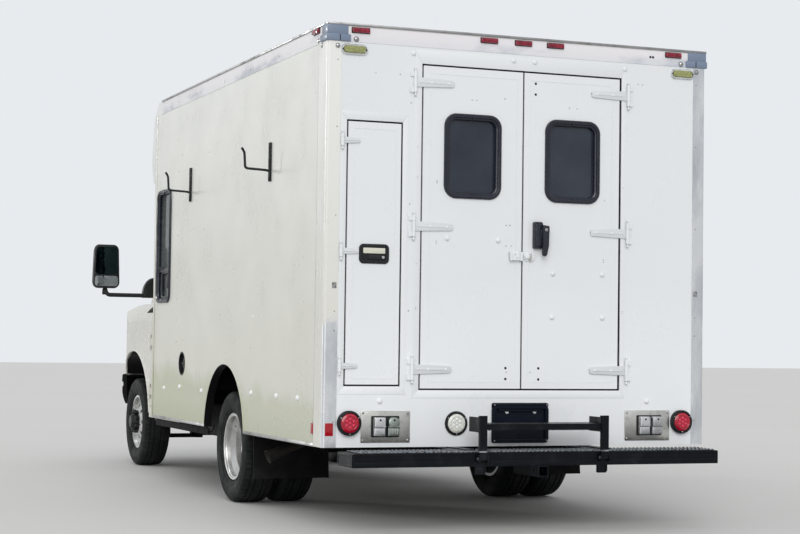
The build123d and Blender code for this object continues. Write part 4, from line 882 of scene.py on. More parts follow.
def rear_bolts():
    """Dome bolts, screw heads and open holes on the rear face, on whatever carries them; the holes are flat
    dark discs of painted shade.
    """
    # Body, dome bolts, screws, holes shown as dark discs of painted shade
    groups = (("rear_door_left", ((0.155, 1.669), (0.478, 1.672)),
               ((0.080, 1.760), (0.105, 1.760), (0.120, 2.500), (0.545, 1.640), (0.545, 1.652),
                (0.330, 2.480), (0.300, 2.480), (0.545, 1.990), (0.545, 2.000), (0.095, 0.905),
                (0.070, 1.640), (0.105, 1.640)), ((0.099, 0.927), (0.099, 0.864))),
              ("rear_door_right", ((-0.200, 1.485), (-0.527, 1.487), (-0.197, 1.228), (-0.529, 1.230)),
               ((-0.300, 2.470), (-0.350, 2.470), (-0.535, 1.575), (-0.535, 1.562), (-0.540, 1.930),
                (-0.060, 0.905)), ((-0.113, 0.927), (-0.113, 0.862), (-0.078, 2.601), (-0.078, 2.537))),
              (BODY, ((0.068, 2.727), (-0.069, 2.727), (-0.668, 2.727), (0.700, 2.727), (0.880, 0.735),
                      (-0.835, 0.735)), ((0.667, 2.010), (0.667, 2.020), (0.667, 1.260), (0.667, 1.270),
                                         (-0.663, 1.260), (-0.663, 1.270), (-0.663, 2.010), (0.712, 1.250),
                                         (0.712, 1.860), (0.712, 2.440), (0.930, 2.600), (0.780, 2.600),
                                         (-0.760, 2.640), (-0.790, 2.640), (0.667, 2.190), (0.667, 1.520)),
               ((-0.842, 2.812), (-0.860, 2.812))),)
    for body, domes, small, holes in groups:
        piece = Piece(f"{body}_rear_fixings", body, "white_paint")
        screws(piece, on_rear, domes, 0.0165, 0.011, "trim_paint", 24)
        screws(piece, on_rear, small, 0.0045, 0.0022, "aluminium")
        # Each hole is a flat dark disc: painted shade, not an opening
        for u, v in holes:
            out = 0.002 if v > RAIL_LOW else 0.0
            piece.shape(lifted(on_rear, out), disc(u, v, 0.0078, 16),
                        [(0, 0), (-0.001, 0.0008), (-0.0070, 0.0006)], "rubber")
        piece.done()


def hinge_hardware():
    """Straps, screws and backing plates of the hinges, beside the CAD barrels."""
    # Body of the strap, sign of x, strap from, strap to, heights, plate half height
    rows = (("rear_door_left", 1, 0.690, 0.445, (0.917, 1.735, 2.563), 0.056),
            ("rear_door_right", -1, 0.690, 0.445, (0.917, 1.735, 2.563), 0.056),
            ("compartment_door", 1, 1.128, 1.020, (0.933, 1.580, 2.207), 0.030))
    pin = [(0, 0.0050), (0.012, 0.0050), (0.013, 0.0085), (0.018, 0.0085), (0.022, 0.004)]
    for body, side, pivot, end, heights, half in rows:
        strap = Piece(f"{body}_strap_screws", body, "white_paint")
        plates = Piece(f"{body}_hinge_plates", BODY, "white_paint")
        length = pivot - end
        reach = 0.060 if half > 0.04 else 0.032
        root, tip = (0.0285, 0.0200) if half > 0.04 else (0.0180, 0.0130)
        thick = 0.0092
        for z in heights:
            leaf = [(side * (pivot - 0.013), z - root), (side * (end + 0.010), z - tip),
                    (side * end, z - tip * 0.55), (side * end, z + tip * 0.55),
                    (side * (end + 0.010), z + tip), (side * (pivot - 0.013), z + root)]
            # The strap's grey is partly painted shade
            strap.plate(on_rear, leaf, 0.0006, thick, "strap_grey_painted_shade", 0.0011)
            ridge = [side * (pivot - length * share) for share in (0.10, 0.90)]
            width = 0.006 if half > 0.04 else 0.003
            strap.shape(lifted(on_rear, thick),
                        rect(ridge, (z - width, z + width), width * 0.9, 4),
                        [(0, 0), (0, 0.0012), (-width * 0.5, 0.0022), (-width * 0.9, 0.0026)], "strap_grey_painted_shade")
            for share in (0.42, 0.86):
                screws(strap, lifted(on_rear, thick), [(side * (pivot - length * share), z)],
                       0.0085 if half > 0.04 else 0.005, 0.0045, "trim_paint", 16)
            if half > 0.04:
                out = 0.018
                spots = [(side * (pivot + out), z + turn * half * 0.76) for turn in (-1, 1)]
                outline = rect((side * (pivot + 0.004), side * (pivot + 0.032)),
                               (z - half - 0.012, z + half + 0.012), 0.006, 4)
                plates.shape(on_rear, outline, raised(0.0045, 0.002), "trim_paint")
                screws(plates, lifted(on_rear, 0.0045), spots, 0.006, 0.0025, "aluminium", 14)
            for way in (-1, 1):
                centre = (side * pivot, REAR + 0.012, z + way * reach)
                plates.turned([(way * along, r) for along, r in pin], centre, (0, 0, 1), "trim_paint", 20)
        strap.done()
        plates.done()


def door_handle():
    """Black die-cast handle: base, long lever and a silver lock."""
    piece = Piece("rear_door_handle", "rear_door_right", "black_plastic")
    piece.shape(on_rear, rect((-0.124, -0.066), (1.627, 1.786), 0.010, 5), raised(0.026, 0.006),
                "frame_black")
    piece.shape(lifted(on_rear, 0.026), rect((-0.116, -0.074), (1.640, 1.774), 0.008, 5),
                raised(0.008, 0.004), "frame_black")
    lever = [(-0.108, 1.767), (-0.151, 1.762), (-0.153, 1.750), (-0.147, 1.640), (-0.139, 1.592),
             (-0.128, 1.582), (-0.114, 1.586), (-0.110, 1.600), (-0.112, 1.660)]
    piece.plate(on_rear, lever, 0.036, 0.056, "frame_black", 0.005)
    piece.shape(on_rear, rect((-0.136, -0.106), (1.690, 1.740), 0.006, 3), raised(0.038, 0.003),
                "frame_black")
    piece.shape(lifted(on_rear, 0.056), disc(-0.130, 1.738, 0.0095, 20), raised(0.004, 0.0015),
                "key_metal")
    piece.shape(lifted(on_rear, 0.060), rect((-0.1315, -0.1285), (1.733, 1.743), 0.0008, 2),
                raised(0.0004, 0.0001), "rubber")
    return piece.done()


def hasp():
    """White hasp across the middle: the keeper on the left door, the rounded catch on the right."""
    z0, z1 = 1.553, 1.605
    left = Piece("hasp_keeper", "rear_door_left", "white_paint")
    left.shape(on_rear, rect((0.006, 0.084), (z0, z1), 0.003, 3), raised(0.006, 0.002), "trim_paint")
    for low, high in ((0.072, 0.084), (0.006, 0.020)):
        left.shape(on_rear, rect((low, high), (z0, z1), 0.002, 3), raised(0.026, 0.003), "trim_paint")
    left.shape(on_rear, rect((0.020, 0.072), (z0 + 0.003, z0 + 0.011), 0.002, 3), raised(0.024, 0.003),
               "trim_paint")
    screws(left, lifted(on_rear, 0.006), ((0.046, 1.592), (0.034, 1.571)), 0.005, 0.002, "aluminium")
    left.done()
    right = Piece("hasp_catch", "rear_door_right", "white_paint")
    right.shape(on_rear, rect((-0.081, -0.007), (z0, z1), 0.022, 8), raised(0.010, 0.003), "trim_paint")
    right.shape(on_rear, rect((-0.052, -0.038), (z0 + 0.004, z1 - 0.004), 0.003, 3), raised(0.024, 0.003),
                "plate_steel")
    right.shape(on_rear, rect((-0.040, -0.012), (z0 + 0.014, z1 - 0.014), 0.005, 3), raised(0.020, 0.003),
                "trim_paint")
    right.done()


def paddle_latch():
    """Black paddle latch with a pale insert and a key cylinder."""
    piece = Piece("paddle_latch", "compartment_door", "black_plastic")
    x0, x1, z0, z1 = 0.836, 1.017, 1.514, 1.622
    rim = rect((x0 + 0.020, x1 - 0.020), (z0 + 0.018, z1 - 0.018), 0.006, 6)
    piece.shape(on_rear, rim, [(0, -0.012), (0, 0.006), (0.004, 0.0095), (0.015, 0.0095), (0.0195, 0.006),
                               (0.020, 0.0), (0.004, 0.0), (0.004, -0.012)], "plastic_black", ring=True)
    piece.shape(on_rear, rim, [(0, 0.0005), (0, 0.0015)], "plastic_black")
    piece.shape(lifted(on_rear, 0.0015), rect((x0 + 0.024, x1 - 0.024), (1.570, 1.602), 0.003, 4),
                raised(0.006, 0.002), "pale_insert")
    piece.shape(lifted(on_rear, 0.0015), rect((x0 + 0.024, x1 - 0.056), (1.536, 1.562), 0.004, 4),
                raised(0.004, 0.0015), "plastic_black")
    piece.shape(lifted(on_rear, 0.0015), disc(x0 + 0.036, 1.549, 0.0125, 24), raised(0.006, 0.002),
                "plastic_black")
    piece.shape(lifted(on_rear, 0.0075), disc(x0 + 0.036, 1.549, 0.0085, 20), raised(0.002, 0.001),
                "key_metal")
    return piece.done()


def round_lamp(name, x, z, radius, face, base):
    """Flanged round lamp: rubber ring, three screws and a domed lens over a ring of bright dots."""
    piece = Piece(name, slot="lamp_red" if face == "red_lens" else "lamp_clear")
    ring = disc(x, z, radius, 48)
    inner = -radius * 0.23
    piece.shape(on_rear, ring, [(-radius + 0.002, base), (0, base), (0, base + 0.006), (-0.004, base + 0.011),
                                (inner + 0.004, base + 0.013), (inner, base + 0.009), (inner, base + 0.004),
                                (-radius + 0.002, base + 0.004)], "rubber", ring=True)
    piece.shape(on_rear, disc(x, z, radius + inner, 48),
                [(0, base + 0.004), (0, base + 0.010), (-0.004, base + 0.013), (-0.022, base + 0.016),
                 (0.002 - radius - inner, base + 0.0165)], face)
    screws(piece, lifted(on_rear, base + 0.0115), circle(x, z, radius * 0.86, 3, -90), 0.0035, 0.002,
           "chrome", 12)
    dots = "red_dot" if face == "red_lens" else "white_dot"
    screws(piece, lifted(on_rear, base + 0.0158), [(x, z), *circle(x, z, 0.0235, 6, 30)], 0.0080, 0.0026,
           dots, 16)
    groove = disc(x, z, radius * 0.62, 48)
    piece.shape(on_rear, groove, [(0, base + 0.010), (0, base + 0.0162), (-0.0025, base + 0.0172),
                                  (-0.005, base + 0.0162), (-0.005, base + 0.010)], face, ring=True)
    return piece.done()


def outlet_panel(name, x0, x1, z0, z1, covers):
    """Riveted steel plate with two sprung outlet covers. Covers: x low, x high, material."""
    piece = Piece(name, slot="bare_aluminium")
    piece.shape(on_rear, rect((x0, x1), (z0, z1), 0.004, 3), raised(0.004, 0.0015), "plate_steel")
    top = lifted(on_rear, 0.004)
    corners = [(u, v) for u in (x0 + 0.014, x1 - 0.014) for v in (z0 + 0.013, z1 - 0.013)]
    screws(piece, top, corners, 0.0075, 0.0045, "bolt_steel", 16)
    low_z, high_z = z0 + 0.038, z1 - 0.036
    for low, high, material in covers:
        middle = (low + high) / 2
        green_with_painted_highlights = material == "cover_green"
        # Black rubber rim round each cover: partly its gasket, partly painted shade round the cover
        piece.shape(top, rect((low - 0.007, high + 0.009), (low_z - 0.007, high_z + 0.007), 0.006, 4),
                    raised(0.005, 0.002), "rubber")
        lid = lifted(on_rear, 0.009)
        crown = 0.030 if green_with_painted_highlights else 0.008
        piece.shape(lid, rect((low, high), (low_z, high_z - 0.046), 0.005, 4), raised(0.026, 0.005), material)
        piece.shape(lid, rect((low, high), (high_z - 0.060, high_z), crown, 8), raised(0.034, 0.007),
                    material)
        piece.pipe([(low + 0.002, REAR + 0.036, high_z - 0.054),
                    (high - 0.002, REAR + 0.036, high_z - 0.054)], 0.007, material, 12)
        screws(piece, lifted(on_rear, 0.043), ((middle, high_z - 0.016),), 0.0060, 0.002, "rubber", 14)
        screws(piece, lifted(on_rear, 0.035), ((low + 0.014, low_z + 0.012),), 0.0050, 0.002,
               "bolt_steel", 14)
        # Chrome strips down the green cover: painted highlights standing for its reflection lines
        if green_with_painted_highlights:
            for k in range(4):
                u = low + (high - low) * (k + 0.9) / 4.8
                piece.shape(lifted(on_rear, 0.035), rect((u - 0.0022, u + 0.0022),
                            (low_z + 0.012, high_z - 0.066), 0.002, 3), raised(0.0025, 0.001), "chrome")
    return piece.done()


def licence_box():
    """Black recessed plate box with a rim, a lamp slot and two bolts."""
    piece = Piece("licence_box", slot="black_plastic")
    x0, x1, z0, z1 = -0.178, 0.185, 0.493, 0.726
    rim = 0.024
    hole = rect((x0 + rim, x1 - rim), (z0 + rim, z1 - rim - 0.014), 0.006, 5)
    piece.shape(on_rear, rect((x0, x1), (z0, z1), 0.012, 5), [(0, 0.0002), (0, 0.0012)], "plate_black")
    piece.shape(on_rear, hole, [(0, 0.001), (0.001, 0.014), (0.005, 0.018), (rim - 0.004, 0.018),
                                (rim, 0.012), (rim, 0.0), (0.004, 0.0)], "plate_black", ring=True)
    piece.box((x0 + 0.004, REAR + 0.001, z1 - 0.020), (x1 - 0.004, REAR + 0.0175, z1 - 0.003), "plate_black",
              0.004)
    piece.box((x0 + rim + 0.020, REAR + 0.002, z1 - 0.052), (x1 - rim - 0.020, REAR + 0.012, z1 - 0.036),
              "plate_black", 0.003)
    for u in (-0.089, 0.089):
        piece.shape(on_rear, disc(u, 0.672, 0.0130, 18), [(0, 0.001), (0, 0.006), (-0.003, 0.0085),
                                                          (-0.0120, 0.009)], "chrome")
    piece.shape(on_rear, rect((-0.012, 0.012), (0.538, 0.548), 0.002, 2), raised(0.004, 0.001, 0.001),
                "plate_black")
    seam = rect((x0 + rim + 0.003, x1 - rim - 0.003), (0.540, 0.664), 0.004, 3)
    piece.shape(on_rear, seam, [(0, 0.001), (0, 0.0028), (-0.003, 0.0028), (-0.003, 0.001)], "plate_black",
                ring=True)
    corners = [(u, v) for u in (x0 + 0.014, x1 - 0.014) for v in (z0 + 0.013, z1 - 0.013)]
    screws(piece, lifted(on_rear, 0.0178), corners, 0.004, 0.002, "aluminium", 12)
    return piece.done()


def marker_lamps():
    """Small red lamps along the rear rail and one on each side rail, olive-amber ovals in bezels below."""
    piece = Piece("rail_markers", slot="lamp_red")
    # Face, middle, half length, low, high, how far it stands out, rim
    rear = [(on_rear, x, 0.0525, 2.8195, 2.8465, 0.016, 0.0035)
            for x in (1.025, 0.227, 0.007, -0.202, -0.998)]
    sides = [(place, 2.834, 0.050, 2.826, 2.853, 0.018, 0.003) for place in (on_left, on_right)]
    for place, at, half, z0, z1, out, rim in rear + sides:
        piece.shape(place, rect((at - half, at + half), (z0, z1), 0.004, 4), raised(out, 0.004, 0.002),
                    "red_marker")
        piece.shape(place, rect((at - half - rim, at + half + rim), (z0 - rim, z1 + rim), 0.005, 4),
                    raised(0.004, 0.001, 0.002), "rubber")
    piece.done()
    ovals = Piece("oval_lamps", slot="lamp_clear")
    for side in (-1, 1):
        u = sorted((side * 0.982, side * 1.142))
        oval = rect(u, (2.692, 2.752), 0.0295, 10)
        ovals.shape(on_rear, oval, [(-0.012, 0.0), (0.0, 0.0), (0.0, 0.008), (-0.003, 0.012), (-0.009, 0.013),
                                    (-0.012, 0.009)], "chrome", ring=True)
        ovals.shape(on_rear, rect((u[0] + 0.006, u[1] - 0.006), (2.694, 2.752), 0.0275, 10),
                    [(-0.009, 0.0), (-0.009, 0.013), (-0.012, 0.0165), (-0.020, 0.018)], "amber_lens")
        spots = [(w, 2.722) for w in (u[0] + 0.008, u[1] - 0.008)]
        screws(ovals, lifted(on_rear, 0.0110), spots, 0.0045, 0.0030, "rubber", 10)
    return ovals.done()


def corner_castings():
    """Blue-grey castings over the top corners, with a stepped lower rim."""
    piece = Piece("corner_castings", slot="bare_aluminium")
    for side in (-1, 1):
        for inner, out, z0, z1, back in ((1.100, 0.008, 2.800, RAIL_TOP + 0.001, 0.085),
                                         (1.086, 0.013, RAIL_LOW + 0.001, 2.806, 0.105)):
            piece.box((side * inner, REAR - back, z0), (side * (SIDE + out), REAR + out, z1), "casting_blue",
                      0.005)
        piece.box((side * 1.150, REAR + 0.012, 2.768), (side * 1.154, REAR + 0.0155, 2.803), "rubber", 0.001)
    piece.done()
    bolts = Piece("rail_bolts", slot="bare_aluminium")
    for side in (-1, 1):
        screws(bolts, lifted(on_rear, 0.002), ((side * 1.052, 2.782),), 0.0165, 0.012, "bolt_steel", 20)
        screws(bolts, lifted(on_rear, 0.003), ((side * 1.162, 2.739),), 0.0150, 0.011, "bolt_steel", 20)
    for place in (on_left, on_right):
        spots = ((2.870, 2.782), (2.930, 2.748))
        screws(bolts, lifted(place, 0.002), spots, 0.015, 0.009, "bolt_steel", 20)
        row = [(REAR - 0.9 - 0.6 * k, 2.800) for k in range(5)]
        screws(bolts, lifted(place, 0.002), row, 0.006, 0.003, "aluminium", 12)
    return bolts.done()


def roof_lip():
    """Grey drip lip round the roof's edge, above the rails."""
    piece = Piece("roof_lip", slot="roof_paint")
    low, high = RAIL_TOP - 0.006, RAIL_TOP + 0.008
    front = BOX_FRONT + 0.185
    piece.box((-SIDE - 0.008, REAR - 0.050, low), (SIDE + 0.008, REAR + 0.010, high), "lip_aluminium", 0.003)
    for side in (-1, 1):
        piece.box((side * (SIDE - 0.045), front, low), (side * (SIDE + 0.008), REAR - 0.051, high),
                  "lip_aluminium", 0.003)
    return piece.done()


def post_details():
    """Reflectors, sockets and screws on and beside the rear corner posts."""
    piece = Piece("post_fittings", slot="bare_aluminium")
    flat = lifted(on_rear, 0.003)
    piece.shape(flat, rect((1.158, 1.206), (0.540, 0.612), 0.002, 2), raised(0.002, 0.0008), "reflector")
    for side in (-1, 1):
        piece.shape(flat, rect((side * 1.150, side * 1.176), (1.368, 1.402), 0.003, 3),
                    [(0, 0), (0, 0.002), (-0.004, 0.002), (-0.005, 0.0004)], "bolt_steel")
        screws(piece, flat, ((side * 1.155, 1.375), (side * 1.171, 1.392)), 0.004, 0.003, "rubber", 10)
        heads = [(side * 1.160, z) for z in (0.62, 1.13, 1.24, 1.78, 2.28, 2.66)]
        screws(piece, flat, heads, 0.0045, 0.002, "bolt_steel", 12)
    piece.done()
    marks = Piece("side_reflectors", slot="lamp_red")
    for place in (on_left, on_right):
        marks.shape(place, rect((2.836, 2.866), (0.545, 0.606), 0.003, 3), raised(0.007, 0.003), "reflector")
        screws(marks, place, ((2.851, 0.614), (2.851, 0.537)), 0.005, 0.003, "bolt_steel", 12)
    return marks.done()


def rear_face():
    trim_frames()
    rear_seals()
    door_seal_strip()
    rear_windows()
    skin_lines()
    rear_bolts()
    hinge_hardware()
    door_handle()
    hasp()
    paddle_latch()
    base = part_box("tail_lamps")[1].y - REAR
    for word, side in reversed(SIDES):
        round_lamp(f"tail_lens_{word}", side * LAMP_X, LAMP_Z, 0.0702, "red_lens", base - 0.006)
    round_lamp("back_up_lamp", 0.408, 0.608, 0.070, "clear_lens", 0.0)
    outlet_panel("outlet_panel_left", 0.694, 0.994, 0.501, 0.681,
                 ((0.854, 0.922, "cover_grey"), (0.768, 0.838, "cover_green")))
    outlet_panel("outlet_panel_right", -0.990, -0.686, 0.501, 0.681,
                 ((-0.842, -0.774, "cover_grey"), (-0.926, -0.858, "cover_grey")))
    licence_box()
    marker_lamps()
    corner_castings()
    roof_lip()
    post_details()


# Bumper and step

def bumper_details():
    """Serrated grip strip on top, grooves along the face, and end caps."""
    piece = Piece("bumper_tread", slot="black_steel")
    half = 1.145
    top = 0.457
    face = 3.325
    rows = 6
    tooth = 0.026
    count = int((2 * half - 0.04) / tooth)
    for row in range(rows):
        y = face - 0.012 - row * 0.040
        outline = [(-half + 0.01, top)]
        for k in range(count):
            x = -half + 0.02 + k * tooth
            outline += [(x, top), (x + tooth * 0.20, top + 0.0095), (x + tooth * 0.62, top + 0.0095),
                        (x + tooth * 0.82, top)]
        outline.append((half - 0.01, top))
        outline += [(half - 0.01, top - 0.002), (-half + 0.01, top - 0.002)]
        piece.plate(facing_y(y), outline, -0.0030, 0.0030, "bumper_black", 0)
    piece.done()
    grooves = Piece("bumper_face", slot="black_steel")
    for z0, z1, out in ((0.449, 0.4575, 0.004), (0.424, 0.432, 0.003), (0.383, 0.412, 0.002)):
        for u0, u1 in ((-half + 0.002, -0.445), (-0.325, 0.325), (0.445, half - 0.002)):
            grooves.shape(facing_y(face), rect((u0, u1), (z0, z1), 0.002, 3), raised(out, 0.0015),
                          "bumper_black")
    for side in (-1, 1):
        grooves.shape(facing_x(side * half, side), rect((face - 0.247, face - 0.003), (0.384, 0.454), 0.004,
                                                        3), [(0, 0), (0, 0.003), (-0.003, 0.005),
                                                             (-0.012, 0.005), (-0.014, 0.002)],
                      "bumper_black")
    return grooves.done()


def step_details():
    """Serrated tread edges, arm gussets and pin heads of the folding step."""
    tread = Piece("step_tread", "step", "black_steel")
    half = 0.376
    for y in (3.190, 3.235, 3.280, 3.325):
        outline = [(-half, 0.588)]
        steps = 46
        for k in range(steps):
            x = -half + 2 * half * k / steps
            width = 2 * half / steps
            outline += [(x + width * 0.1, 0.587), (x + width * 0.3, 0.5805), (x + width * 0.6, 0.5805),
                        (x + width * 0.8, 0.587)]
        outline.append((half, 0.588))
        tread.plate(facing_y(y), outline, -0.0025, 0.0025, "bumper_black", 0)
    for side in (-1, 1):
        x = side * 0.382
        gusset = [(3.300, 0.640), (3.336, 0.663), (3.352, 0.663), (3.352, 0.560), (3.336, 0.560)]
        tread.plate(facing_x(x), gusset, -0.0235, 0.0235, "bumper_black", 0.002)
        for out in (-1, 1):
            centre = (x + out * 0.0305, 3.345, 0.425)
            tread.turned([(0, 0.010), (out * 0.002, 0.010), (out * 0.0035, 0.007), (out * 0.004, 0.001)],
                         centre, (1, 0, 0), "bolt_steel", 16)
    tread.done()
    brackets = Piece("step_brackets", slot="black_steel")
    for side in (-1, 1):
        x = side * 0.382
        for offset in (-0.026, 0.026):
            brackets.plate(facing_x(x + offset), [(3.318, 0.383), (3.326, 0.383), (3.326, 0.345),
                                                  (3.318, 0.345)], -0.004, 0.004, "bumper_black", 0)
        brackets.box((x - 0.028, 3.296, 0.336), (x + 0.028, 3.322, 0.384), "bumper_black", 0.004)
    return brackets.done()


# Left and right side

HOOKS = (1.987, 0.108)
LEFT_WINDOW = (-0.846, -0.440, 1.335, 2.185)


def hooks():
    """Wall channels and bent round bars that stand for the plain CAD hooks."""
    low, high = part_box("side_hooks")
    piece = Piece("side_hook_bars", slot="black_steel", replaces=("side_hooks",))
    wall = SIDE + 0.0003
    end = SIDE + 0.173
    arm = 2.118
    for y in HOOKS:
        for out in (-0.0125, 0.0095):
            piece.box((wall, y + out, low.z), (wall + 0.014, y + out + 0.003, high.z), "hook_black", 0.001)
        piece.box((wall, y - 0.0125, low.z), (wall + 0.003, y + 0.0125, high.z), "hook_black", 0.001)
        bar = bent([(wall + 0.003, y, arm - 0.012), (wall + 0.030, y, arm - 0.004),
                    (end - 0.008, y, arm + 0.002), (end - 0.002, y, arm + 0.100),
                    (high.x - 0.008, y, high.z - 0.040)], 0.020, 6)
        piece.pipe(bar, 0.0078, "hook_black", 14)
        piece.box((wall + 0.003, y - 0.009, arm - 0.050), (wall + 0.016, y + 0.009, arm + 0.012),
                  "hook_black", 0.003)
        spots = [(y, z) for z in (low.z + 0.020, low.z + 0.045, high.z - 0.030)]
        screws(piece, lifted(on_left, 0.003), spots, 0.0065, 0.005, "bolt_steel", 16)
    return piece.done()


def side_window():
    """Black-framed sliding window: a tall upper pane, a divider and a small sliding pane below."""
    u0, u1, v0 = LEFT_WINDOW[:3]
    window_frame("side_window_frame", BODY, on_left, LEFT_WINDOW, -WALL)
    piece = Piece("side_window_bars", slot="black_plastic")
    piece.shape(on_left, rect((u0 + 0.030, u1 - 0.030), (1.567, 1.605), 0.003, 3),
                raised(0.016, 0.003, -0.018), "frame_black")
    piece.shape(on_left, rect((u0 + 0.120, u0 + 0.146), (v0 + 0.034, 1.570), 0.003, 3),
                raised(0.012, 0.003, -0.018), "frame_black")
    piece.shape(on_left, rect((u0 + 0.150, u1 - 0.052), (v0 + 0.050, 1.556), 0.012, 5),
                [(0, -0.012), (0, -0.002), (0.006, 0.000), (0.012, -0.002), (0.012, -0.012)], "frame_black",
                ring=True)
    piece.shape(on_left, rect((u1 - 0.100, u1 - 0.075), (1.440, 1.500), 0.004, 3),
                raised(0.010, 0.003, -0.004), "frame_black")
    return piece.done()


def filler_cup():
    """Rubber-lipped recess with the fuel cap inside."""
    piece = Piece("filler_cup", slot="black_plastic")
    y, z, r = -0.068, 0.893, 0.078
    piece.shape(on_left, disc(y, z, r, 40), [(-0.004, -0.038), (-0.004, 0.002), (0.000, 0.0035),
                                             (0.005, 0.003), (0.007, 0.0), (0.0, 0.0), (-0.002, -0.004),
                                             (-0.001, -0.038)], "rubber", ring=True)
    piece.shape(on_left, disc(y, z, r - 0.004, 40), [(0, -0.0398), (0, -0.036)], "liner_black")
    piece.shape(on_left, disc(y, z, 0.042, 36), [(0, -0.036), (0, -0.020), (-0.004, -0.016),
                                                 (-0.024, -0.015)], "plastic_black")
    piece.shape(on_left, rect((y - 0.028, y + 0.028), (z - 0.007, z + 0.007), 0.004, 3),
                raised(0.012, 0.003, -0.017), "plastic_black")
    return piece.done()


def side_fixings():
    """Dome bolts along the skirt, a column of screws behind the front edge, and plugged holes."""
    bolts = ((-0.569, 0.705), (-0.118, 0.726), (0.474, 0.715), (1.648, 0.738), (2.168, 0.736), (2.575, 0.738))
    column = [(-0.238, 1.05 + 0.155 * k) for k in range(9)]
    plugs = ((-0.15, 2.40), (-0.28, 2.52), (0.55, 2.36), (0.78, 2.40), (-0.20, 1.86), (0.10, 1.84),
             (0.20, 1.84), (0.47, 1.83), (0.68, 1.40), (0.88, 1.41), (1.66, 1.22), (1.78, 1.22), (1.62, 1.02),
             (1.70, 1.02), (-0.05, 1.06), (-0.20, 0.86), (-0.20, 0.80), (1.02, 0.985), (2.62, 1.75),
             (2.66, 1.30), (1.75, 1.42))
    # Places, radius, height, material, steps round
    kinds = ((bolts, 0.0175, 0.011, "trim_paint", 22), (column, 0.0065, 0.0035, "aluminium", 12),
             (plugs, 0.006, 0.002, "plate_steel", 12))
    # The right side has none on its entry door
    for name, place, front in (("left", on_left, BOX_FRONT), ("right", on_right, -0.04)):
        piece = Piece(f"{name}_side_fixings", slot="white_paint")
        for spots, *look in kinds:
            screws(piece, place, [spot for spot in spots if spot[0] > front], *look)
        piece.done()


def skirt_edges():
    """Bright hem along the bottom of both walls, the front edge strip and its dark seam."""
    for name, place, material in (("left", on_left, "left_paint"), ("right", on_right, "right_paint")):
        piece = Piece(f"{name}_skirt_edge", slot="white_paint")
        for y0, y1 in ((BOX_FRONT + WALL, REAR_AXLE - REAR_ARCH), (REAR_AXLE + REAR_ARCH, REAR - 0.150)):
            piece.shape(place, rect((y0, y1), (SKIRT - 0.002, SKIRT + 0.018), 0.002, 3),
                        raised(0.0025, 0.001), "lip_aluminium")
        piece.shape(place, rect((BOX_FRONT + 0.012, BOX_FRONT + 0.050), (SKIRT, RAIL_LOW - 0.002), 0.003, 3),
                    raised(0.004, 0.003, -0.001), material)
        piece.shape(place, rect((BOX_FRONT + 0.051, BOX_FRONT + 0.055), (SKIRT, RAIL_LOW - 0.002), 0.0005, 1),
                    [(0, 0), (0, 0.0006)], "rubber")
        piece.shape(place, rect((REAR - 0.1505, REAR - 0.1475), (SKIRT, RAIL_LOW - 0.002), 0.0005, 1),
                    [(0, 0.0028), (0, 0.0034)], "lip_aluminium")
        # Lip round the wheel arch
        arch = [place(y, z, 0.0005) for y, z in arc(REAR_AXLE, REAR_ARCH_Z, REAR_ARCH - 0.004, 4.5, 171, 40)]
        piece.pipe(arch, 0.0045, material, 8)
        piece.done()


def nose_x(y):
    """Half width of the cab at y: straight sides, then the round front corner."""
    a, b, c = Vector((1.0, -2.56)), Vector((0.9525, -2.96)), Vector((0.81, -3.24))
    if y > a.y:
        return a.x
    turn = 2 * (a.x * (b.y - c.y) + b.x * (c.y - a.y) + c.x * (a.y - b.y))
    squares = [p.x ** 2 + p.y ** 2 for p in (a, b, c)]
    centre_x = (squares[0] * (b.y - c.y) + squares[1] * (c.y - a.y) + squares[2] * (a.y - b.y)) / turn
    centre_y = (squares[0] * (c.x - b.x) + squares[1] * (a.x - c.x) + squares[2] * (b.x - a.x)) / turn
    radius = math.hypot(a.x - centre_x, a.y - centre_y)
    return centre_x + math.sqrt(max(radius ** 2 - (y - centre_y) ** 2, 0))


def arch_lips():
    """Lips and splash panels of the front arches, black strips under the skirts as painted shade, flaps
    behind the rear wheels.
    """
    for word, side in SIDES:
        piece = Piece(f"front_arch_lip_{word}", slot="cab_paint")
        edge = arc(FRONT_AXLE, FRONT_ARCH_Z, FRONT_ARCH, 8, 131, 44)
        path = [(side * (nose_x(y) - 0.002), y, z) for y, z in edge]
        piece.pipe(path, 0.0085, "lip_white", 10)
        piece.done()
        splash = Piece(f"front_splash_{word}", slot="black_plastic")
        splash.box((side * 0.585, -1.985, 0.440), (side * 0.965, -1.980, 0.850), "liner_black", 0.001)
        inner = [(FRONT_AXLE - 0.55, 0.66), (-1.986, 0.66), (-1.986, 0.90), (FRONT_AXLE + 0.30, 0.985),
                 (FRONT_AXLE - 0.42, 0.985), (FRONT_AXLE - 0.55, 0.80)]
        splash.plate(facing_x(side * 0.566, side), inner, 0, 0.005, "liner_black", 0.001)
        splash.done()
        # A black strip under each skirt that blocks the view of the floor: painted shade
        shade_strip = Piece(f"skirt_shade_strip_{word}", slot="black_plastic")
        shade_strip.box((side * 1.176, -0.930, 0.414), (side * 1.190, REAR_AXLE - REAR_ARCH - 0.010, 0.462),
                    "liner_black", 0.002)
        shade_strip.done()
        flap = Piece(f"mud_flap_{word}", slot="black_plastic")
        y = REAR_AXLE + REAR_ARCH + 0.008
        x0, x1, thick = side * 0.655, side * 1.158, 0.008
        rows = []
        for z, bow in ((0.722, 0.0), (0.60, 0.0), (0.45, 0.004), (0.30, 0.012), (0.190, 0.024)):
            section = ((x0, bow), (x1, bow), (x1, bow + thick), (x0, bow + thick))
            rows.append([(x, y + out, z) for x, out in section])
        flap.loops(rows, "liner_black")
        for x in (0.70, 0.82, 0.94, 1.06, 1.13):
            flap.turned([(0, 0.009), (0.004, 0.009), (0.007, 0.005)], (side * x, y + 0.008, 0.690), (0, 1, 0),
                        "bolt_steel", 12)
        flap.done()


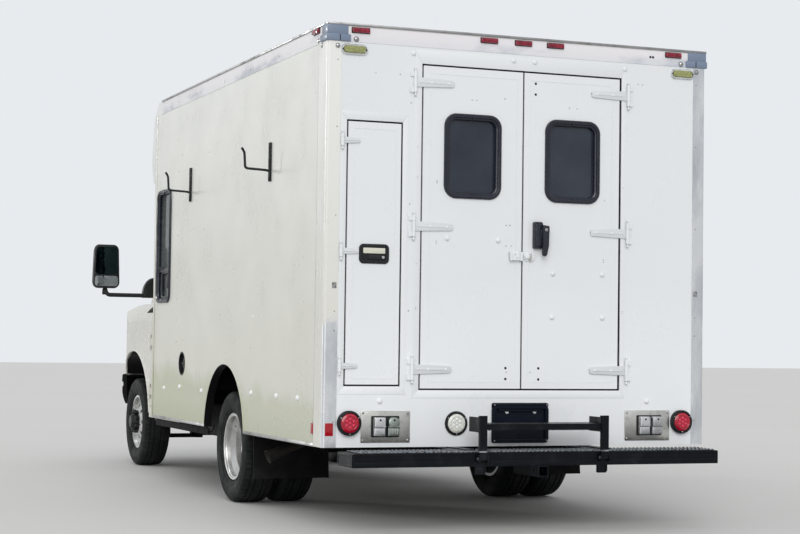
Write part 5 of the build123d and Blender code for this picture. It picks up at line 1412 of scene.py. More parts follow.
def exhaust_tip():
    """Short flared end on the tail pipe, dark inside."""
    piece = Piece("exhaust_tip", slot="exhaust_steel")
    tail_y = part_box("exhaust")[1].y - 0.027
    way = Vector((250, 0, -95)).normalized()
    end = Vector((1.150, tail_y, 0.351))
    start = end - way * 0.120
    piece.turned([(0, 0.0272), (0, 0.0300), (0.100, 0.0330), (0.126, 0.0420), (0.130, 0.0420),
                  (0.130, 0.0385), (0.100, 0.0300), (0.010, 0.0272)], start, way, "exhaust_steel", 32,
                 ring=True)
    piece.turned([(0.090, 0.0250), (0.095, 0.0250)], start, way, "liner_black", 32)
    return piece.done()


def entry_trim():
    """Frame, seal, sill, window and handle of the right-hand entry door."""
    y0, y1, z0, z1 = -0.780, -0.080, 0.780, 2.560
    piece = Piece("entry_frame", slot="white_paint")
    rim = 0.040
    strips = ([(y0 - rim, z0), (y0, z0), (y0, z1), (y0 - rim, z1 + rim)],
              [(y1, z0), (y1 + rim, z0), (y1 + rim, z1 + rim), (y1, z1)],
              [(y0 - rim, z1 + rim), (y0, z1), (y1, z1), (y1 + rim, z1 + rim)])
    for strip in strips:
        piece.plate(on_right, strip, 0, TRIM_OUT, "right_paint", 0.0006)
    gap_seal(piece, on_right, y0, y1, z0, z1)
    piece.box((-SIDE - 0.060, y0 + 0.02, z0 - 0.034), (-SIDE - 0.001, y1 - 0.02, z0 - 0.008), "bumper_black",
              0.004)
    piece.done()
    window_frame("entry_window", "entry_door", on_right, (-0.590, -0.250, 1.560, 2.220), -0.045)
    pane = Piece("entry_window_glass", "entry_door", "dark_glass")
    pane.shape(on_right, rect((-0.556, -0.284), (1.594, 2.186), 0.042, 8), raised(0.006, 0.001), "dark_glass")
    pane.done()
    latch = Piece("entry_handle", "entry_door", "black_plastic")
    u, v = -0.150, 1.300
    latch.shape(on_right, rect((u - 0.055, u + 0.055), (v - 0.045, v + 0.045), 0.012, 5),
                [(-0.012, 0.002), (0, 0), (0, 0.006), (-0.003, 0.009), (-0.009, 0.009), (-0.012, 0.005)],
                "plastic_black", ring=True)
    latch.shape(on_right, rect((u - 0.045, u + 0.045), (v - 0.035, v + 0.035), 0.008, 4),
                raised(0.004, 0.002), "plastic_black")
    latch.shape(on_right, rect((u - 0.040, u + 0.040), (v - 0.010, v + 0.030), 0.006, 4),
                raised(0.012, 0.004), "plastic_black")
    latch.shape(lifted(on_right, 0.004), disc(u + 0.025, v - 0.022, 0.008, 18), raised(0.004, 0.002),
                "key_metal")
    return latch.done()


def both_walls():
    hooks()
    side_window()
    filler_cup()
    side_fixings()
    skirt_edges()
    entry_trim()


# Wheels

TYRE_HALF = 0.1125
# Half section of the tyre's skin from bead to crown: share of the half width, radius
TYRE_SECTION = ((0.66, 0.2055), (0.74, 0.2240), (0.86, 0.2300), (0.915, 0.2440), (0.925, 0.2460),
                (0.965, 0.2600), (0.985, 0.2750), (0.992, 0.2765), (1.0, 0.2980), (0.992, 0.3180),
                (0.975, 0.3330), (0.955, 0.3380), (0.925, 0.3470), (0.860, 0.3560), (0.800, 0.3605))
# Tread across half the width: share, whether it lies in a groove
TREAD = ((0.79, 0), (0.60, 0), (0.585, 1), (0.52, 1), (0.505, 0), (0.29, 0), (0.275, 1), (0.21, 1),
         (0.195, 0), (0.0, 0))
GROOVE, SLOT = 0.0085, 0.0062
TREAD_BLOCKS = 56


def tyre_rows(centre):
    """Rings of points: the section is the same all round, but the tread lugs step in and out."""
    crown = [(share, 0.3660 - 0.0048 * (share / 0.79) ** 2, low) for share, low in TREAD]
    half = [(share, radius, 0) for share, radius in TYRE_SECTION] + crown
    whole = half + [(-share, radius, low) for share, radius, low in reversed(half[:-1])]
    inside = [(-0.62, 0.2052, 0), (0.62, 0.2052, 0)]
    steps = TREAD_BLOCKS * 4
    rows = []
    for share, radius, low in whole + inside:
        ring = []
        for k in range(steps):
            slot = (k + (2 if share > 0 else 0)) % 4 == 0
            cut = SLOT if slot and radius > 0.350 and abs(share) > 0.30 else 0.0
            angle = 2 * math.pi * k / steps
            r = radius - (GROOVE if low else cut)
            ring.append(Vector((centre[0] + share * TYRE_HALF, centre[1] + r * math.cos(angle),
                                centre[2] + r * math.sin(angle))))
        rows.append(ring)
    return rows


def sidewall_marks(piece, centre, side):
    """Two raised rings on the outer sidewall."""
    for r0, r1 in ((0.2480, 0.2500), (0.3120, 0.3136)):
        x = centre[0] + side * TYRE_HALF * (0.935 if r0 < 0.3 else 0.993)
        piece.turned([(0, r0), (side * 0.0016, r0), (side * 0.0016, r1), (0, r1)], (x, centre[1], centre[2]),
                     (1, 0, 0), "tyre_rubber", 72, ring=True)


def tyres():
    """Treaded tyres that stand for the plain CAD ones, the rear ones in pairs."""
    low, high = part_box("rear_tyres_left")
    front_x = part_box("front_tyre_left")[1].x - TYRE_HALF
    # Node, body, x of each tyre
    groups = (("front_tyre", "front_wheel", (front_x,)),
              ("rear_tyres", "rear_wheels", (high.x - TYRE_HALF, low.x + TYRE_HALF)))
    for word, side in SIDES:
        for group, body, xs in groups:
            piece = Piece(f"{group}_{word}_tread", f"{body}_{word}", "tyre", (f"{group}_{word}",))
            for x in xs:
                centre = (side * x, *middle_of(f"{group}_left"))
                piece.loops(tyre_rows(centre), "tyre_rubber", ring=True)
                sidewall_marks(piece, centre, side)
            piece.done(28)


def wheel_details():
    """Nuts, hub caps and valves on the four wheels."""
    for word, side in SIDES:
        low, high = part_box(f"front_rim_{word}")
        y, z = middle_of(f"front_rim_{word}")
        tip = high.x if side > 0 else low.x
        base = tip - side * 0.058
        piece = Piece(f"front_hub_{word}", f"front_wheel_{word}", "steel")
        for spot in circle(y, z, 0.086, 8, 22.5):
            piece.turned([(-0.004, 0.016), (side * 0.012, 0.016), (side * 0.030, 0.0145),
                          (side * 0.036, 0.009), (side * 0.037, 0.001)], (base, *spot), (1, 0, 0),
                         "plastic_black", 6)
        cover = [(-0.045, 0.069), (-0.006, 0.069), (0.004, 0.0655), (0.018, 0.0605), (0.030, 0.0475),
                 (0.033, 0.030), (0.0335, 0.001)]
        piece.turned([(side * along, r) for along, r in cover], (tip - side * 0.030, y, z), (1, 0, 0),
                     "plastic_black", 40)
        piece.pipe([(base + side * 0.01, y + 0.168, z - 0.02), (base + side * 0.045, y + 0.158, z - 0.018)],
                   [0.0055, 0.004], "rubber", 10)
        piece.done()
        y, z = middle_of(f"rear_rims_{word}")
        hub = Piece(f"rear_hub_{word}", f"rear_wheels_{word}", "steel")
        for spot in circle(y, z, 0.092, 8, 22.5):
            hub.turned([(-0.004, 0.017), (side * 0.020, 0.017), (side * 0.034, 0.0145), (side * 0.040, 0.006),
                        (side * 0.041, 0.001)], (side * 0.937, *spot), (1, 0, 0), "bolt_steel", 6)
        tip = side * 1.057
        hub.turned([(-side * 0.010, 0.050), (side * 0.001, 0.050), (side * 0.004, 0.044),
                    (side * 0.0045, 0.001)], (tip, y, z), (1, 0, 0), "chrome", 36)
        for spot in circle(y, z, 0.056, 6):
            hub.turned([(-side * 0.004, 0.0055), (side * 0.005, 0.0055), (side * 0.006, 0.001)],
                       (tip - side * 0.006, *spot), (1, 0, 0), "bolt_steel", 6)
        hub.pipe([(side * 1.02, y - 0.120, z + 0.110), (side * 1.10, y - 0.135, z + 0.125)], [0.0055, 0.004],
                 "rubber", 10)
        hub.done()


# Cab

def mirrors():
    """Two-pane towing mirrors: tapered shell, both glasses, arm, pivot and base."""
    low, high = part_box("mirror_left")
    arm_z = 1.415
    y = -1.830
    middle = 1.401
    for word, side in SIDES:
        def head(u, v, d, s=side):
            """The shell narrows upwards."""
            pinch = 1 - 0.10 * max(0.0, (v - 1.56) / 0.26)
            return Vector((s * (middle + (u - middle) * pinch), high.y + d, v))
        piece = Piece(f"mirror_{word}_head", f"cab_door_{word}", "black_plastic", (f"mirror_{word}",))
        # Sections of the shell from the glass forward: y, shrink
        rows = []
        for depth, shrink in ((high.y - 0.002, 0.010), (high.y - 0.006, 0.002), (high.y - 0.030, 0.0),
                              (low.y + 0.045, 0.010), (low.y + 0.020, 0.026), (low.y + 0.006, 0.055),
                              (low.y + 0.001, 0.090)):
            outline = rect((1.292 + shrink, high.x - 0.001 - shrink),
                           (1.467 + shrink, high.z - 0.001 - shrink), min(0.045, 0.104 - shrink), 8)
            rows.append([head(u, v, depth - high.y) for u, v in outline()])
        piece.loops(rows, "plastic_black")
        # The panes carry painted reflections: dark above, paler below
        piece.shape(head, rect((1.308, 1.494), (1.578, 1.800), 0.030, 8), [(0, -0.004), (0, -0.001)],
                    "mirror_painted_dark_reflection")
        piece.shape(head, rect((1.308, 1.494), (1.484, 1.566), 0.022, 8),
                    [(0, -0.004), (0, -0.0015), (-0.012, -0.0007), (-0.030, -0.0002)], "mirror_painted_pale_reflection")
        piece.pipe(bent([(side * 1.012, y, arm_z), (side * 1.385, y, arm_z),
                         (side * middle, y - 0.02, arm_z + 0.055)], 0.03), 0.0165, "plastic_black", 16)
        piece.turned([(0, 0.019), (0.012, 0.021), (0.040, 0.020), (0.052, 0.014)],
                     (side * middle, y - 0.02, arm_z + 0.002), (0, 0, 1), "plastic_black", 24)
        curve = [(1.002 + 0.096 * c, 1.410 + 0.150 * s) for c, s in arc(0, 0, 1, 0, 90, 10)]
        quarter = [(0.985, 1.396), (1.094, 1.396), *curve, (0.985, 1.560)]
        place = (lambda u, v, d, s=side: Vector((s * u, y + d, v)))
        piece.plate(place, quarter, -0.024, 0.030, "plastic_black", 0.008)
        piece.done()


def front_bumper_details():
    """A rounded bar that wraps both corners, with a shelf, brackets, pads, fog lamps and a blank plate."""
    piece = Piece("front_bumper_bar", slot="black_plastic", replaces=("front_bumper",))
    low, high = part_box("front_bumper")
    half_plan = [(0.0, low.y), (0.30, low.y + 0.006), (0.55, low.y + 0.022), (0.72, low.y + 0.045),
                 (0.820, low.y + 0.085), (0.885, low.y + 0.135), (0.930, low.y + 0.195),
                 (0.958, low.y + 0.265), (0.976, low.y + 0.330), (0.986, high.y)]
    plan = [Vector((-x, y)) for x, y in reversed(half_plan)] + [Vector(p) for p in half_plan[1:]]
    # Height, how far in from the plan line: the outer face, then the inner one
    section = ((0.755, 0.016), (0.748, 0.004), (0.700, 0.001), (0.690, 0.003), (0.684, 0.012), (0.652, 0.013),
               (0.646, 0.004), (0.600, 0.005), (0.560, 0.012), (0.520, 0.026), (0.501, 0.036), (0.497, 0.050),
               (0.540, 0.046), (0.640, 0.044), (0.745, 0.044), (0.755, 0.036))
    rows = []
    for k, point in enumerate(plan):
        ahead = (plan[min(k + 1, len(plan) - 1)] - plan[max(k - 1, 0)]).normalized()
        inward = Vector((-ahead.y, ahead.x))
        rows.append([Vector((point.x + inward.x * inset, min(point.y + inward.y * inset, high.y - 0.0005), z))
                     for z, inset in section])
    piece.loops(rows, "plastic_black")
    shelf = [(p.x * 0.975, p.y + 0.028) for p in plan if p.y < -3.120]
    shelf += [(shelf[-1][0], -3.060), (shelf[0][0], -3.060)]
    piece.plate(facing_z(0), shelf, 0.738, 0.746, "plastic_black", 0.001)
    for side in (-1, 1):
        piece.box((side * 0.405, low.y + 0.042, 0.520), (side * 0.455, -3.080, 0.610), "chassis_black", 0.004)
        place = (lambda u, v, d, s=side: Vector((s * u, low.y + 0.012 + 0.05 * max(0, abs(u) - 0.3) - d, v)))
        piece.shape(place, rect((0.250, 0.330), (0.560, 0.616), 0.008, 4), raised(0.014, 0.003, -0.004),
                    "plastic_black")
        piece.turned([(0, 0.030), (0.006, 0.030), (0.008, 0.026), (0.004, 0.024), (0.0035, 0.001)],
                     (side * 0.600, low.y + 0.038, 0.600), (0, -1, 0), "chrome", 32)
    piece.shape(facing_y(low.y + 0.001, -1), rect((-0.160, 0.160), (0.540, 0.640), 0.006, 3),
                raised(0.0008, 0.0004, -0.012), "plate_black")
    return piece.done()


def cast(nodes, start, way):
    """The first point of some CAD nodes along a ray, or None."""
    best = None
    for node in nodes:
        hit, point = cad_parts[node].ray_cast(Vector(start), Vector(way))[:2]
        if hit and (best is None or (point - Vector(start)).length < (best - Vector(start)).length):
            best = point.copy()
    return best


# Where the rays onto the cab start: ahead of it and above it
AHEAD_Y, ABOVE_Z = -4.0, 2.2


def on_nose(nodes, fallback=-3.24):
    """Place function draped on the front: u is x, v is z, d stands forward."""
    def place(u, v, d):
        found = cast(nodes, (u, AHEAD_Y, v), (0, 1, 0))
        return Vector((u, (found.y if found else fallback) - d, v))
    return place


def draped_tube(piece, nodes, points, way, radius):
    """A closed rubber moulding laid on the CAD skin along points, seen along way."""
    found = [cast(nodes, Vector(point) - Vector(way) * 3.0, way) for point in points]
    path = [spot for spot in found if spot]
    piece.pipe(path + path[:1], radius, "rubber", 8)


def along(corners, step, radius):
    """Points spaced evenly along a closed outline with rounded corners."""
    ring = [Vector(c) for c in corners]
    ring = [(ring[0] + ring[-1]) / 2] + ring + [(ring[0] + ring[-1]) / 2]
    path = bent(ring, radius, 5)
    made = []
    for a, b in zip(path, path[1:]):
        count = max(1, int((b - a).length / step))
        made += [a.lerp(b, k / count) for k in range(count)]
    return made


def nose_details():
    """Radiator behind the bars, lamp bowls, bezels, indicators and the hood's creases."""
    core = Piece("radiator_core", slot="black_steel")
    core.box((-0.600, -3.170, 0.700), (0.600, -3.140, 1.060), "radiator", 0.004)
    for k in range(72):
        x = -0.530 + 1.060 * k / 71
        core.box((x - 0.0012, -3.178, 0.800), (x + 0.0012, -3.170, 1.050), "radiator", 0)
    for k in range(9):
        z = 0.815 + 0.028 * k
        core.box((-0.535, -3.182, z - 0.003), (0.535, -3.171, z + 0.003), "radiator", 0.001)
    core.done()
    lamps = Piece("headlamp_cells", slot="lamp_clear")
    bezel = Piece("front_bezels", slot="bare_aluminium")
    face = on_nose(("headlamps", "grille_panel"))
    for side in (-1, 1):
        for x, r in ((0.640, 0.062), (0.742, 0.044)):
            centre = (side * x, -3.240 if x < 0.7 else -3.236, 0.988)
            lamps.turned([(0.000, 0.001), (0.002, r * 0.40), (0.008, r * 0.75), (0.018, r),
                          (0.018, r + 0.003), (-0.002, r + 0.003), (-0.002, 0.001)], centre, (0, -1, 0),
                         "chrome", 36)
            lamps.turned([(0.001, 0.010), (0.012, 0.010), (0.016, 0.006), (0.017, 0.001)], centre, (0, -1, 0),
                         "clear_lens", 18)
        bezel.shape(face, dense(rect((side * 0.558, side * 0.794), (0.898, 1.077), 0.030, 6)),
                    [(0, -0.006), (0, 0.003), (0.004, 0.006), (0.010, 0.003), (0.010, -0.006)], "chrome",
                    ring=True)
        amber = rect((side * 0.600, side * 0.785), (0.842, 0.886), 0.008, 4)
        bezel.shape(face, dense(amber), raised(0.010, 0.003, -0.006), "orange_lens")
    bezel.shape(face, dense(rect((-0.535, 0.535), (0.806, 1.089), 0.034, 8)),
                [(0, -0.006), (0, 0.003), (0.004, 0.007), (0.012, 0.004), (0.012, -0.006)], "chrome",
                ring=True)
    lamps.done()
    bezel.done()
    crease = Piece("hood_creases", "hood", "cab_paint")
    # Ends of each line, its points, how deep it sits, its radius
    lines = [((side * 0.480, -3.150), (side * 0.570, -2.390), 30, 0.004, 0.0085) for side in (-1, 1)]
    for start, end, count, sunk, radius in lines + [((-0.700, -3.200), (0.700, -3.200), 41, 0.003, 0.006)]:
        spots = [Vector((*start, ABOVE_Z)).lerp(Vector((*end, ABOVE_Z)), k / (count - 1))
                 for k in range(count)]
        found = [cast(("hood",), spot, (0, 0, -1)) for spot in spots]
        crease.pipe([spot - Vector((0, 0, sunk)) for spot in found if spot], radius, "cab_paint", 10)
    return crease.done()


def windshield_details():
    """Rubber round the windshield and door glass, wipers, cowl louvres and an inside mirror."""
    piece = Piece("windshield_surround", slot="black_plastic")
    grow = 0.006
    corners = [(-0.860 - grow, -3, 1.470 - grow), (0.860 + grow, -3, 1.470 - grow),
               (0.730 + grow, -3, 1.890 + grow), (-0.730 - grow, -3, 1.890 + grow)]
    draped_tube(piece, ("cab_shell",), along(corners, 0.02, 0.05), (0, 1, 0), 0.009)
    for x in [-0.69 + 0.06 * k for k in range(24)]:
        found = cast(("cab_shell",), (x, -2.285, ABOVE_Z), (0, 0, -1))
        if found and found.z < 1.50:
            z = found.z
            piece.box((x - 0.022, -2.325, z - 0.006), (x + 0.022, -2.250, z + 0.004), "plastic_black", 0.003)
    piece.done()
    wipers = Piece("wipers", slot="black_plastic")
    skins = ("fixed_panes", "cab_shell")
    for start, tip in ((0.600, -0.020), (-0.180, -0.760)):
        base = cast(skins, (start, AHEAD_Y, 1.462), (0, 1, 0))
        spots = []
        for k in range(13):
            t = k / 12
            x = start + (tip - start) * t
            z = 1.466 + 0.085 * math.sin(math.pi * min(1, t * 0.62)) + 0.035 * t
            found = cast(skins, (x, AHEAD_Y, z), (0, 1, 0))
            if found:
                spots.append(found + Vector((0, -0.020, 0.008)))
        if base and len(spots) > 4:
            wipers.pipe(spots[:8], 0.0065, "plastic_black", 8)
            blade = [p + Vector((0, 0.006, -0.004)) for p in spots[2:]]
            wipers.pipe(blade, 0.0050, "rubber", 8)
            wipers.turned([(0, 0.018), (0.024, 0.018), (0.030, 0.012), (0.031, 0.001)],
                          base + Vector((0, 0.012, -0.004)), (0, -0.8, 0.6), "plastic_black", 20)
    wipers.done()
    for word, side in SIDES:
        frame_line = Piece(f"cab_door_seal_{word}", f"cab_door_{word}", "black_plastic")
        y0, y1, z0, z1 = -1.829, -1.074, 1.427, 1.881
        corners = [(0, y0, z0), (0, y0 + 0.318, z1), (0, y1, z1), (0, y1, z0)]
        nodes = (f"cab_door_{word}", f"cab_pane_{word}")
        draped_tube(frame_line, nodes, along(corners, 0.02, 0.035), (-side, 0, 0), 0.008)
        frame_line.done()
    mirror = Piece("inside_mirror", slot="black_plastic")
    mirror.shape(facing_y(-1.600), rect((-0.120, 0.120), (1.815, 1.880), 0.020, 6),
                 raised(0.018, 0.008), "plastic_black")
    mirror.shape(facing_y(-1.582), rect((-0.112, 0.112), (1.822, 1.873), 0.016, 6),
                 [(0, -0.001), (0, 0.0008)], "mirror_painted_pale_reflection")
    mirror.pipe([(0, -1.600, 1.848), (0, -1.640, 1.900), (0, -1.668, 1.925)], 0.007, "plastic_black", 8)
    return mirror.done()


def cap_lamps():
    """Orange clearance lamps across the front cap."""
    piece = Piece("cap_lamps", slot="lamp_red")
    place = on_nose(("front_cap",), -1.3)
    for x in (-0.95, -0.16, 0.0, 0.16, 0.95):
        if not cast(("front_cap",), (x, AHEAD_Y, 2.640), (0, 1, 0)):
            continue
        piece.shape(place, rect((x - 0.045, x + 0.045), (2.622, 2.652), 0.008, 4),
                    raised(0.020, 0.007, -0.004), "orange_lens")
        piece.shape(place, rect((x - 0.051, x + 0.051), (2.616, 2.658), 0.010, 4),
                    raised(0.005, 0.001, -0.004), "rubber")
    return piece.done()


def cab_steps():
    """Black step boards under the cab doors, hung from the sills, and a loop of strap below the skirt."""
    piece = Piece("cab_step_boards", slot="black_plastic")
    for side in (-1, 1):
        rows = []
        for y, tuck in ((-1.830, 0.030), (-1.800, 0.004), (-1.400, 0.0), (-1.040, 0.004), (-1.015, 0.030)):
            x0, x1 = side * 0.780, side * (0.985 - tuck)
            rows.append([Vector((x0, y, 0.392)), Vector((x1 - side * 0.030, y, 0.388)),
                         Vector((x1, y, 0.412)), Vector((x1, y, 0.456)),
                         Vector((x1 - side * 0.010, y, 0.464)), Vector((x0, y, 0.464))])
        piece.loops(rows, "plastic_black")
        for k in range(22):
            y = -1.785 + 0.034 * k
            piece.box((side * 0.800, y, 0.463), (side * 0.965, y + 0.012, 0.4675), "plastic_black", 0.001)
        for y in (-1.700, -1.160):
            piece.box((side * 0.850, y - 0.020, 0.430), (side * 0.885, y + 0.020, 0.470), "chassis_black",
                      0.003)
    piece.done()
    loop = Piece("skirt_loop", slot="black_plastic")
    path = [(1.150, 0.560, 0.480), (1.150, 0.540, 0.455), (1.152, 0.510, 0.436), (1.156, 0.475, 0.430),
            (1.160, 0.440, 0.438), (1.162, 0.420, 0.456), (1.158, 0.432, 0.474), (1.150, 0.460, 0.480)]
    loop.pipe(bent(path, 0.012, 4), 0.0055, "rubber", 8)
    return loop.done()


def rim_rings():
    """Stepped trim rings on the rear wheels' outer flanges."""
    for word, side in SIDES:
        low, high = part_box(f"rear_rims_{word}")
        centre = (high.x if side > 0 else low.x, *middle_of(f"rear_rims_{word}"))
        ring = Piece(f"rear_trim_ring_{word}", f"rear_wheels_{word}", "steel")
        outline = [(-0.004, 0.2205), (0.0015, 0.2205), (0.004, 0.2180), (0.003, 0.2120), (-0.004, 0.2080),
                   (-0.006, 0.2000), (-0.012, 0.1975), (-0.012, 0.1990), (-0.006, 0.2140)]
        ring.turned([(side * out, r) for out, r in outline], centre, (1, 0, 0), "rim_bright", 72, ring=True)
        ring.done()


def cab_details():
    """Door handles of the cab, with their cups and locks."""
    for word, side in SIDES:
        piece = Piece(f"cab_handle_{word}", f"cab_door_{word}", "black_plastic")
        place = facing_x(side * 1.000, side)
        piece.shape(place, rect((-1.190, -1.060), (1.060, 1.112), 0.014, 5), raised(0.004, 0.002),
                    "plastic_black")
        piece.shape(place, rect((-1.182, -1.068), (1.084, 1.106), 0.008, 5), raised(0.022, 0.006),
                    "plastic_black")
        piece.shape(lifted(place, 0.004), disc(-1.080, 1.072, 0.008, 18), raised(0.003, 0.001),
                    "key_metal")
        piece.done()


# Seats and interior

PRESSURE = 4.0
CLOTH_FRAMES = 20
SWELL = 0.024
SAG = 0.007


def drawn_in(share, across):
    """How far a pad's side sags between its corners; share and across run from -1 to 1."""
    return math.copysign(SAG * max(0.0, 1 - across * across), share) if abs(share) > 0.8 else 0.0


def evaluated(thing):
    bpy.context.view_layer.update()
    return bpy.data.meshes.new_from_object(thing.evaluated_get(bpy.context.evaluated_depsgraph_get()))


def swelling(thing, held):
    """Blows the mesh up as cloth under pressure and keeps the last frame's shape."""
    scene = bpy.context.scene
    thing.vertex_groups.new(name="held").add([v.index for v in thing.data.vertices if held(v.co)], 1.0,
                                             "REPLACE")
    sheet = thing.modifiers.new("pressure", "CLOTH")
    for key, value in (("quality", 4), ("mass", 0.3), ("tension_stiffness", 18),
                       ("compression_stiffness", 18), ("shear_stiffness", 6), ("bending_stiffness", 1.0),
                       ("use_pressure", True), ("uniform_pressure_force", PRESSURE),
                       ("vertex_group_mass", "held")):
        setattr(sheet.settings, key, value)
    sheet.settings.effector_weights.gravity = 0
    sheet.point_cache.frame_start = 1
    sheet.point_cache.frame_end = CLOTH_FRAMES
    before = scene.frame_current
    for number in range(1, CLOTH_FRAMES + 1):
        scene.frame_set(number)
    shape = thing.evaluated_get(bpy.context.evaluated_depsgraph_get()).data
    moves = [made.co - old.co for made, old in zip(shape.vertices, thing.data.vertices)]
    thing.modifiers.clear()
    scene.frame_set(before)
    for vert, move in zip(thing.data.vertices, moves):
        if move.length > SWELL:
            move = move.normalized() * SWELL
        vert.co += move


def cushion(name, low, high, seam, depth, channels, voxel, face="bench_vinyl", body=BODY, panel=None):
    """A stuffed pad between two corners.

    seam is (axis, place) of its welt, channels are its sewn lines, depth is how much smaller it starts
    than its space, and panel tells which faces are woven cloth.
    """
    low, high = Vector(low), Vector(high)
    start_low = low + Vector(depth)
    start_high = high - Vector(depth)
    block = cuboid(start_low, start_high)
    size = start_high - start_low
    corner = min(size) * 0.28
    bmesh.ops.bevel(block, geom=block.edges[:], offset=corner, segments=4, profile=0.55, affect="EDGES")
    data = bpy.data.meshes.new(name)
    block.to_mesh(data)
    block.free()
    thing = bpy.data.objects.new(name, data)
    bpy.context.scene.collection.objects.link(thing)
    remesh = thing.modifiers.new("cells", "REMESH")
    remesh.mode = "VOXEL"
    remesh.voxel_size = voxel
    whole = evaluated(thing)
    thing.modifiers.clear()
    thing.data = whole
    letter, level = seam
    # Sides pull in between the corners, most at the seam
    middle = (low + high) / 2
    others = [i for i in range(3) if i != letter]
    for vert in whole.vertices:
        near = max(0.0, 1 - abs(vert.co[letter] - level) / (size[letter] * 0.6))
        share = [(vert.co[i] - middle[i]) / (size[i] / 2) for i in others]
        for i, mine, other in ((others[0], share[0], share[1]), (others[1], share[1], share[0])):
            vert.co[i] -= near * drawn_in(mine, other)
    rest_low = start_low.z + voxel * 0.9
    swelling(thing, lambda co: abs(co[letter] - level) < voxel * 0.7 or (letter == 2 and co.z < rest_low))
    smooth = thing.modifiers.new("smooth", "SUBSURF")
    smooth.levels = smooth.render_levels = 1
    fine = evaluated(thing)
    thing.modifiers.clear()
    thing.data = fine
    # Sewn channels: axis, place, half width, depth
    normals = [v.normal.copy() for v in fine.vertices]
    for vert, normal in zip(fine.vertices, normals):
        for axis, place, width, sink, open_axis in channels:
            away = abs(vert.co[axis] - place)
            if away < width and abs(normal[open_axis]) > 0.25:
                vert.co -= normal * sink * (1 - (away / width) ** 2)
        for i in range(3):
            vert.co[i] = min(max(vert.co[i], low[i]), high[i])
    fine.materials.clear()
    fine.materials.append(MAT[face])
    if panel:
        fine.materials.append(MAT["seat_cloth"])
    for polygon in fine.polygons:
        polygon.use_smooth = True
        if panel and panel(polygon.center):
            polygon.material_index = 1
    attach(thing, body)
    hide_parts("seats")
    # Welt round the seam
    welt = Piece(f"{name}_welt", body, "seat_cloth")
    a, b = others
    loop = []
    inset = min(size) * 0.02
    outline = rect((start_low[a] + inset, start_high[a] - inset),
                   (start_low[b] + inset, start_high[b] - inset), corner, 6)
    for u, v in outline():
        point = Vector((0, 0, 0))
        point[letter] = level
        share_u = (u - middle[a]) / (size[a] / 2)
        share_v = (v - middle[b]) / (size[b] / 2)
        point[a] = u - drawn_in(share_u, share_v)
        point[b] = v - drawn_in(share_v, share_u)
        loop.append(point)
    path = []
    for p, q in zip(loop, loop[1:] + loop[:1]):
        count = max(1, int((q - p).length / 0.03))
        for k in range(count):
            spot = p.lerp(q, k / count)
            if count > 1:
                for i, other in ((a, b), (b, a)):
                    share = (spot[i] - middle[i]) / (size[i] / 2)
                    across = (spot[other] - middle[other]) / (size[other] / 2)
                    if abs(share) > 0.8:
                        flat = (start_high[i] - inset) if share > 0 else (start_low[i] + inset)
                        spot[i] = flat - drawn_in(share, across)
            path.append(spot)
    welt.pipe(path + path[:1], 0.0042, face, 8)
    welt.done()
    return thing


def seats():
    """Two sprung cab seats: cushion, back and head pad of cloth and vinyl on a boxed pedestal."""
    for word, side in SIDES:
        x = side * 0.430
        woven = (lambda c, at=x: abs(c.x - at) < 0.148)
        lines = [(0, x - 0.150, 0.016, 0.009, 2), (0, x + 0.150, 0.016, 0.009, 2)]
        cross = [(1, y, 0.014, 0.006, 2) for y in (-1.365, -1.290, -1.215)]
        cushion(f"seat_cushion_{word}", (x - 0.250, -1.470, 0.860), (x + 0.250, -1.134, 1.040), (2, 0.985),
                (0.014, 0.012, 0.012), lines + cross, 0.013, panel=lambda c, f=woven: f(c) and c.z > 0.96)
        lines = [(0, x - 0.150, 0.016, 0.009, 1), (0, x + 0.150, 0.016, 0.009, 1)]
        cross = [(2, z, 0.014, 0.006, 1) for z in (1.130, 1.240, 1.350, 1.460)]
        cushion(f"seat_back_{word}", (x - 0.250, -1.129, 0.868), (x + 0.250, -0.999, 1.560), (1, -1.062),
                (0.014, 0.012, 0.014), lines + cross, 0.013, panel=lambda c, f=woven: f(c) and c.y < -1.075)
        cushion(f"seat_head_{word}", (x - 0.140, -1.114, 1.590), (x + 0.140, -1.014, 1.760), (1, -1.064),
                (0.010, 0.010, 0.010), [(2, 1.675, 0.010, 0.004, 1)], 0.010,
                panel=lambda c, at=x: abs(c.x - at) < 0.09)
        base = Piece(f"seat_base_{word}", slot="black_plastic")
        for out in (-1, 1):
            post = x + out * 0.060
            base.pipe([(post, -1.064, 1.545), (post, -1.064, 1.600)], 0.006, "chrome", 12)
            rail = x + out * 0.165
            base.box((rail - 0.018, -1.400, 0.7015), (rail + 0.018, -1.060, 0.728), "aluminium", 0.003)
        rows = []
        for z, half, y0, y1 in ((0.728, 0.200, -1.400, -1.050), (0.760, 0.206, -1.405, -1.045),
                                (0.840, 0.208, -1.408, -1.042), (0.858, 0.200, -1.400, -1.050)):
            rows.append([Vector((u, v, z)) for u, v in rect((x - half, x + half), (y0, y1), 0.030, 5)()])
        base.loops(rows, "trim_grey")
        base.pipe([(x + side * 0.209, -1.380, 0.800), (x + side * 0.222, -1.380, 0.803),
                   (x + side * 0.222, -1.290, 0.812)], [0.006, 0.007, 0.009], "plastic_black", 10)
        base.shape(facing_x(x + side * 0.208, side), rect((-1.230, -1.110), (0.770, 0.820), 0.010, 4),
                   raised(0.006, 0.002), "plastic_black")
        base.done()
    for k in range(3):
        y0 = 0.490 + 0.600 * k
        cushion(f"bench_pad_{k + 1}", (-1.166, y0 + 0.002, 1.1805), (-0.620, y0 + 0.598, 1.270), (2, 1.236),
                (0.008, 0.008, 0.006), [(1, y0 + 0.300, 0.016, 0.005, 2)], 0.015)


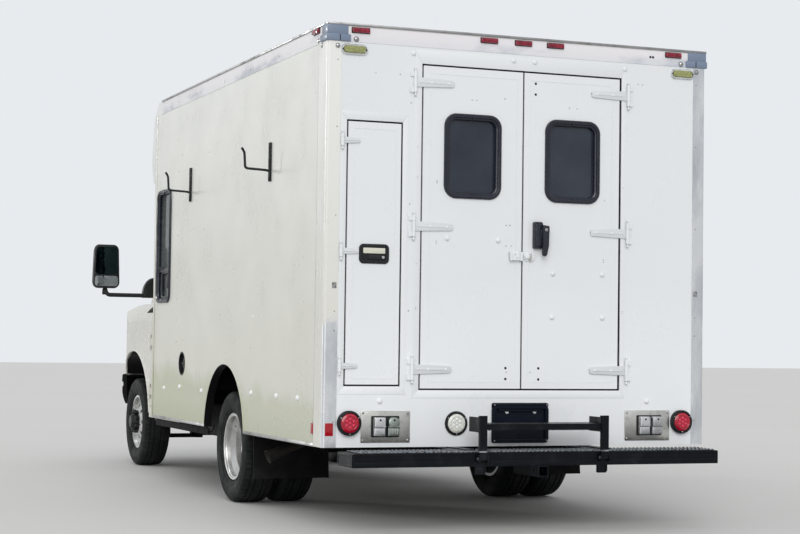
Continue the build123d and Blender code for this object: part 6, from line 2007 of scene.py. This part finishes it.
def interior():
    """Doors, trims and handles of the cabinets, a grab rail and ceiling lamps."""
    face = facing_x(0.800, -1)
    bench = facing_x(-0.610)
    doors = Piece("cabinet_fronts", slot="white_paint")
    fittings = Piece("cabinet_fittings", slot="bare_aluminium")
    columns = [(-0.360, 0.560), (0.580, 1.500), (1.520, 2.480)]
    for y0, y1 in columns:
        for z0, z1, clear in ((0.960, 1.420, False), (1.440, 1.900, False), (1.920, 2.300, True),
                              (2.320, 2.680, True)):
            middle = (y0 + y1) / 2
            for a, b in ((y0, middle - 0.004), (middle + 0.004, y1)):
                doors.shape(face, rect((a, b), (z0, z1), 0.012, 3), raised(0.016, 0.003, 0.0005),
                            "smoked_lens" if clear else "laminate")
                fittings.shape(face, rect((a + 0.014, b - 0.014), (z0 + 0.014, z1 - 0.014), 0.010, 3),
                               [(0, 0.010), (0, 0.0185), (0.010, 0.0185), (0.010, 0.010)], "aluminium",
                               ring=True)
                grip = b - 0.050 if a == y0 else a + 0.050
                fittings.shape(face, rect((grip - 0.012, grip + 0.012), (z0 + 0.080, z0 + 0.170), 0.008, 4),
                               raised(0.026, 0.005, 0.016), "plastic_black")
    for y0, y1 in ((0.520, 1.080), (1.110, 1.670), (1.700, 2.260)):
        doors.shape(bench, rect((y0, y1), (0.830, 1.140), 0.014, 3), raised(0.014, 0.003, 0.0005), "laminate")
        middle = (y0 + y1) / 2
        fittings.shape(bench, rect((middle - 0.045, middle + 0.045), (1.075, 1.100), 0.008, 4),
                       raised(0.016, 0.004, 0.014), "plastic_black")
    doors.done()
    rail = bent([(0.100, 0.300, 2.760), (0.100, 0.300, 2.640), (0.100, 2.300, 2.640), (0.100, 2.300, 2.760)],
                0.08, 6)
    fittings.pipe(rail, 0.016, "chrome", 16)
    for y in (0.300, 2.300):
        fittings.turned([(0, 0.035), (0.004, 0.035), (0.008, 0.028), (0.010, 0.017)], (0.100, y, 2.762),
                        (0, 0, -1), "aluminium", 28)
    fittings.done()
    lamps = Piece("ceiling_lamps", slot="lamp_clear")
    for y in (0.200, 1.200, 2.200):
        found = cast(("roof_panel",), (-0.250, y, 2.0), (0, 0, 1))
        top = found.z if found else 2.78
        place = facing_z(top, -1)
        lamps.shape(place, rect((-0.350, -0.150), (y - 0.300, y + 0.300), 0.020, 5), raised(0.020, 0.006),
                    "aluminium")
        lamps.shape(place, rect((-0.330, -0.170), (y - 0.280, y + 0.280), 0.014, 5),
                    raised(0.008, 0.004, 0.019), "white_dot")
    return lamps.done()


def stage_floor():
    data = bpy.data.meshes.new("studio_floor")
    reach = 60
    data.from_pydata([(-reach, -reach, 0), (reach, -reach, 0), (reach, reach, 0), (-reach, reach, 0)], [],
                     [(0, 1, 2, 3)])
    s = Surface("studio_floor", rough=0.9)
    s.colour(s.blend(s.span(s.noise(0.35, 3), 0.3, 0.7), (0.600, 0.592, 0.578), (0.612, 0.604, 0.590)))
    data.materials.append(s.material)
    floor = bpy.data.objects.new("studio_floor", data)
    bpy.context.scene.collection.objects.link(floor)


make_materials()
make_camera()
make_light()
stage_floor()
for node, material in DRESSING:
    dress(node, material)
rear_face()
bumper_details()
step_details()
both_walls()
arch_lips()
exhaust_tip()
tyres()
wheel_details()
mirrors()
front_bumper_details()
nose_details()
windshield_details()
cap_lamps()
cab_steps()
rim_rings()
cab_details()
seats()
interior()
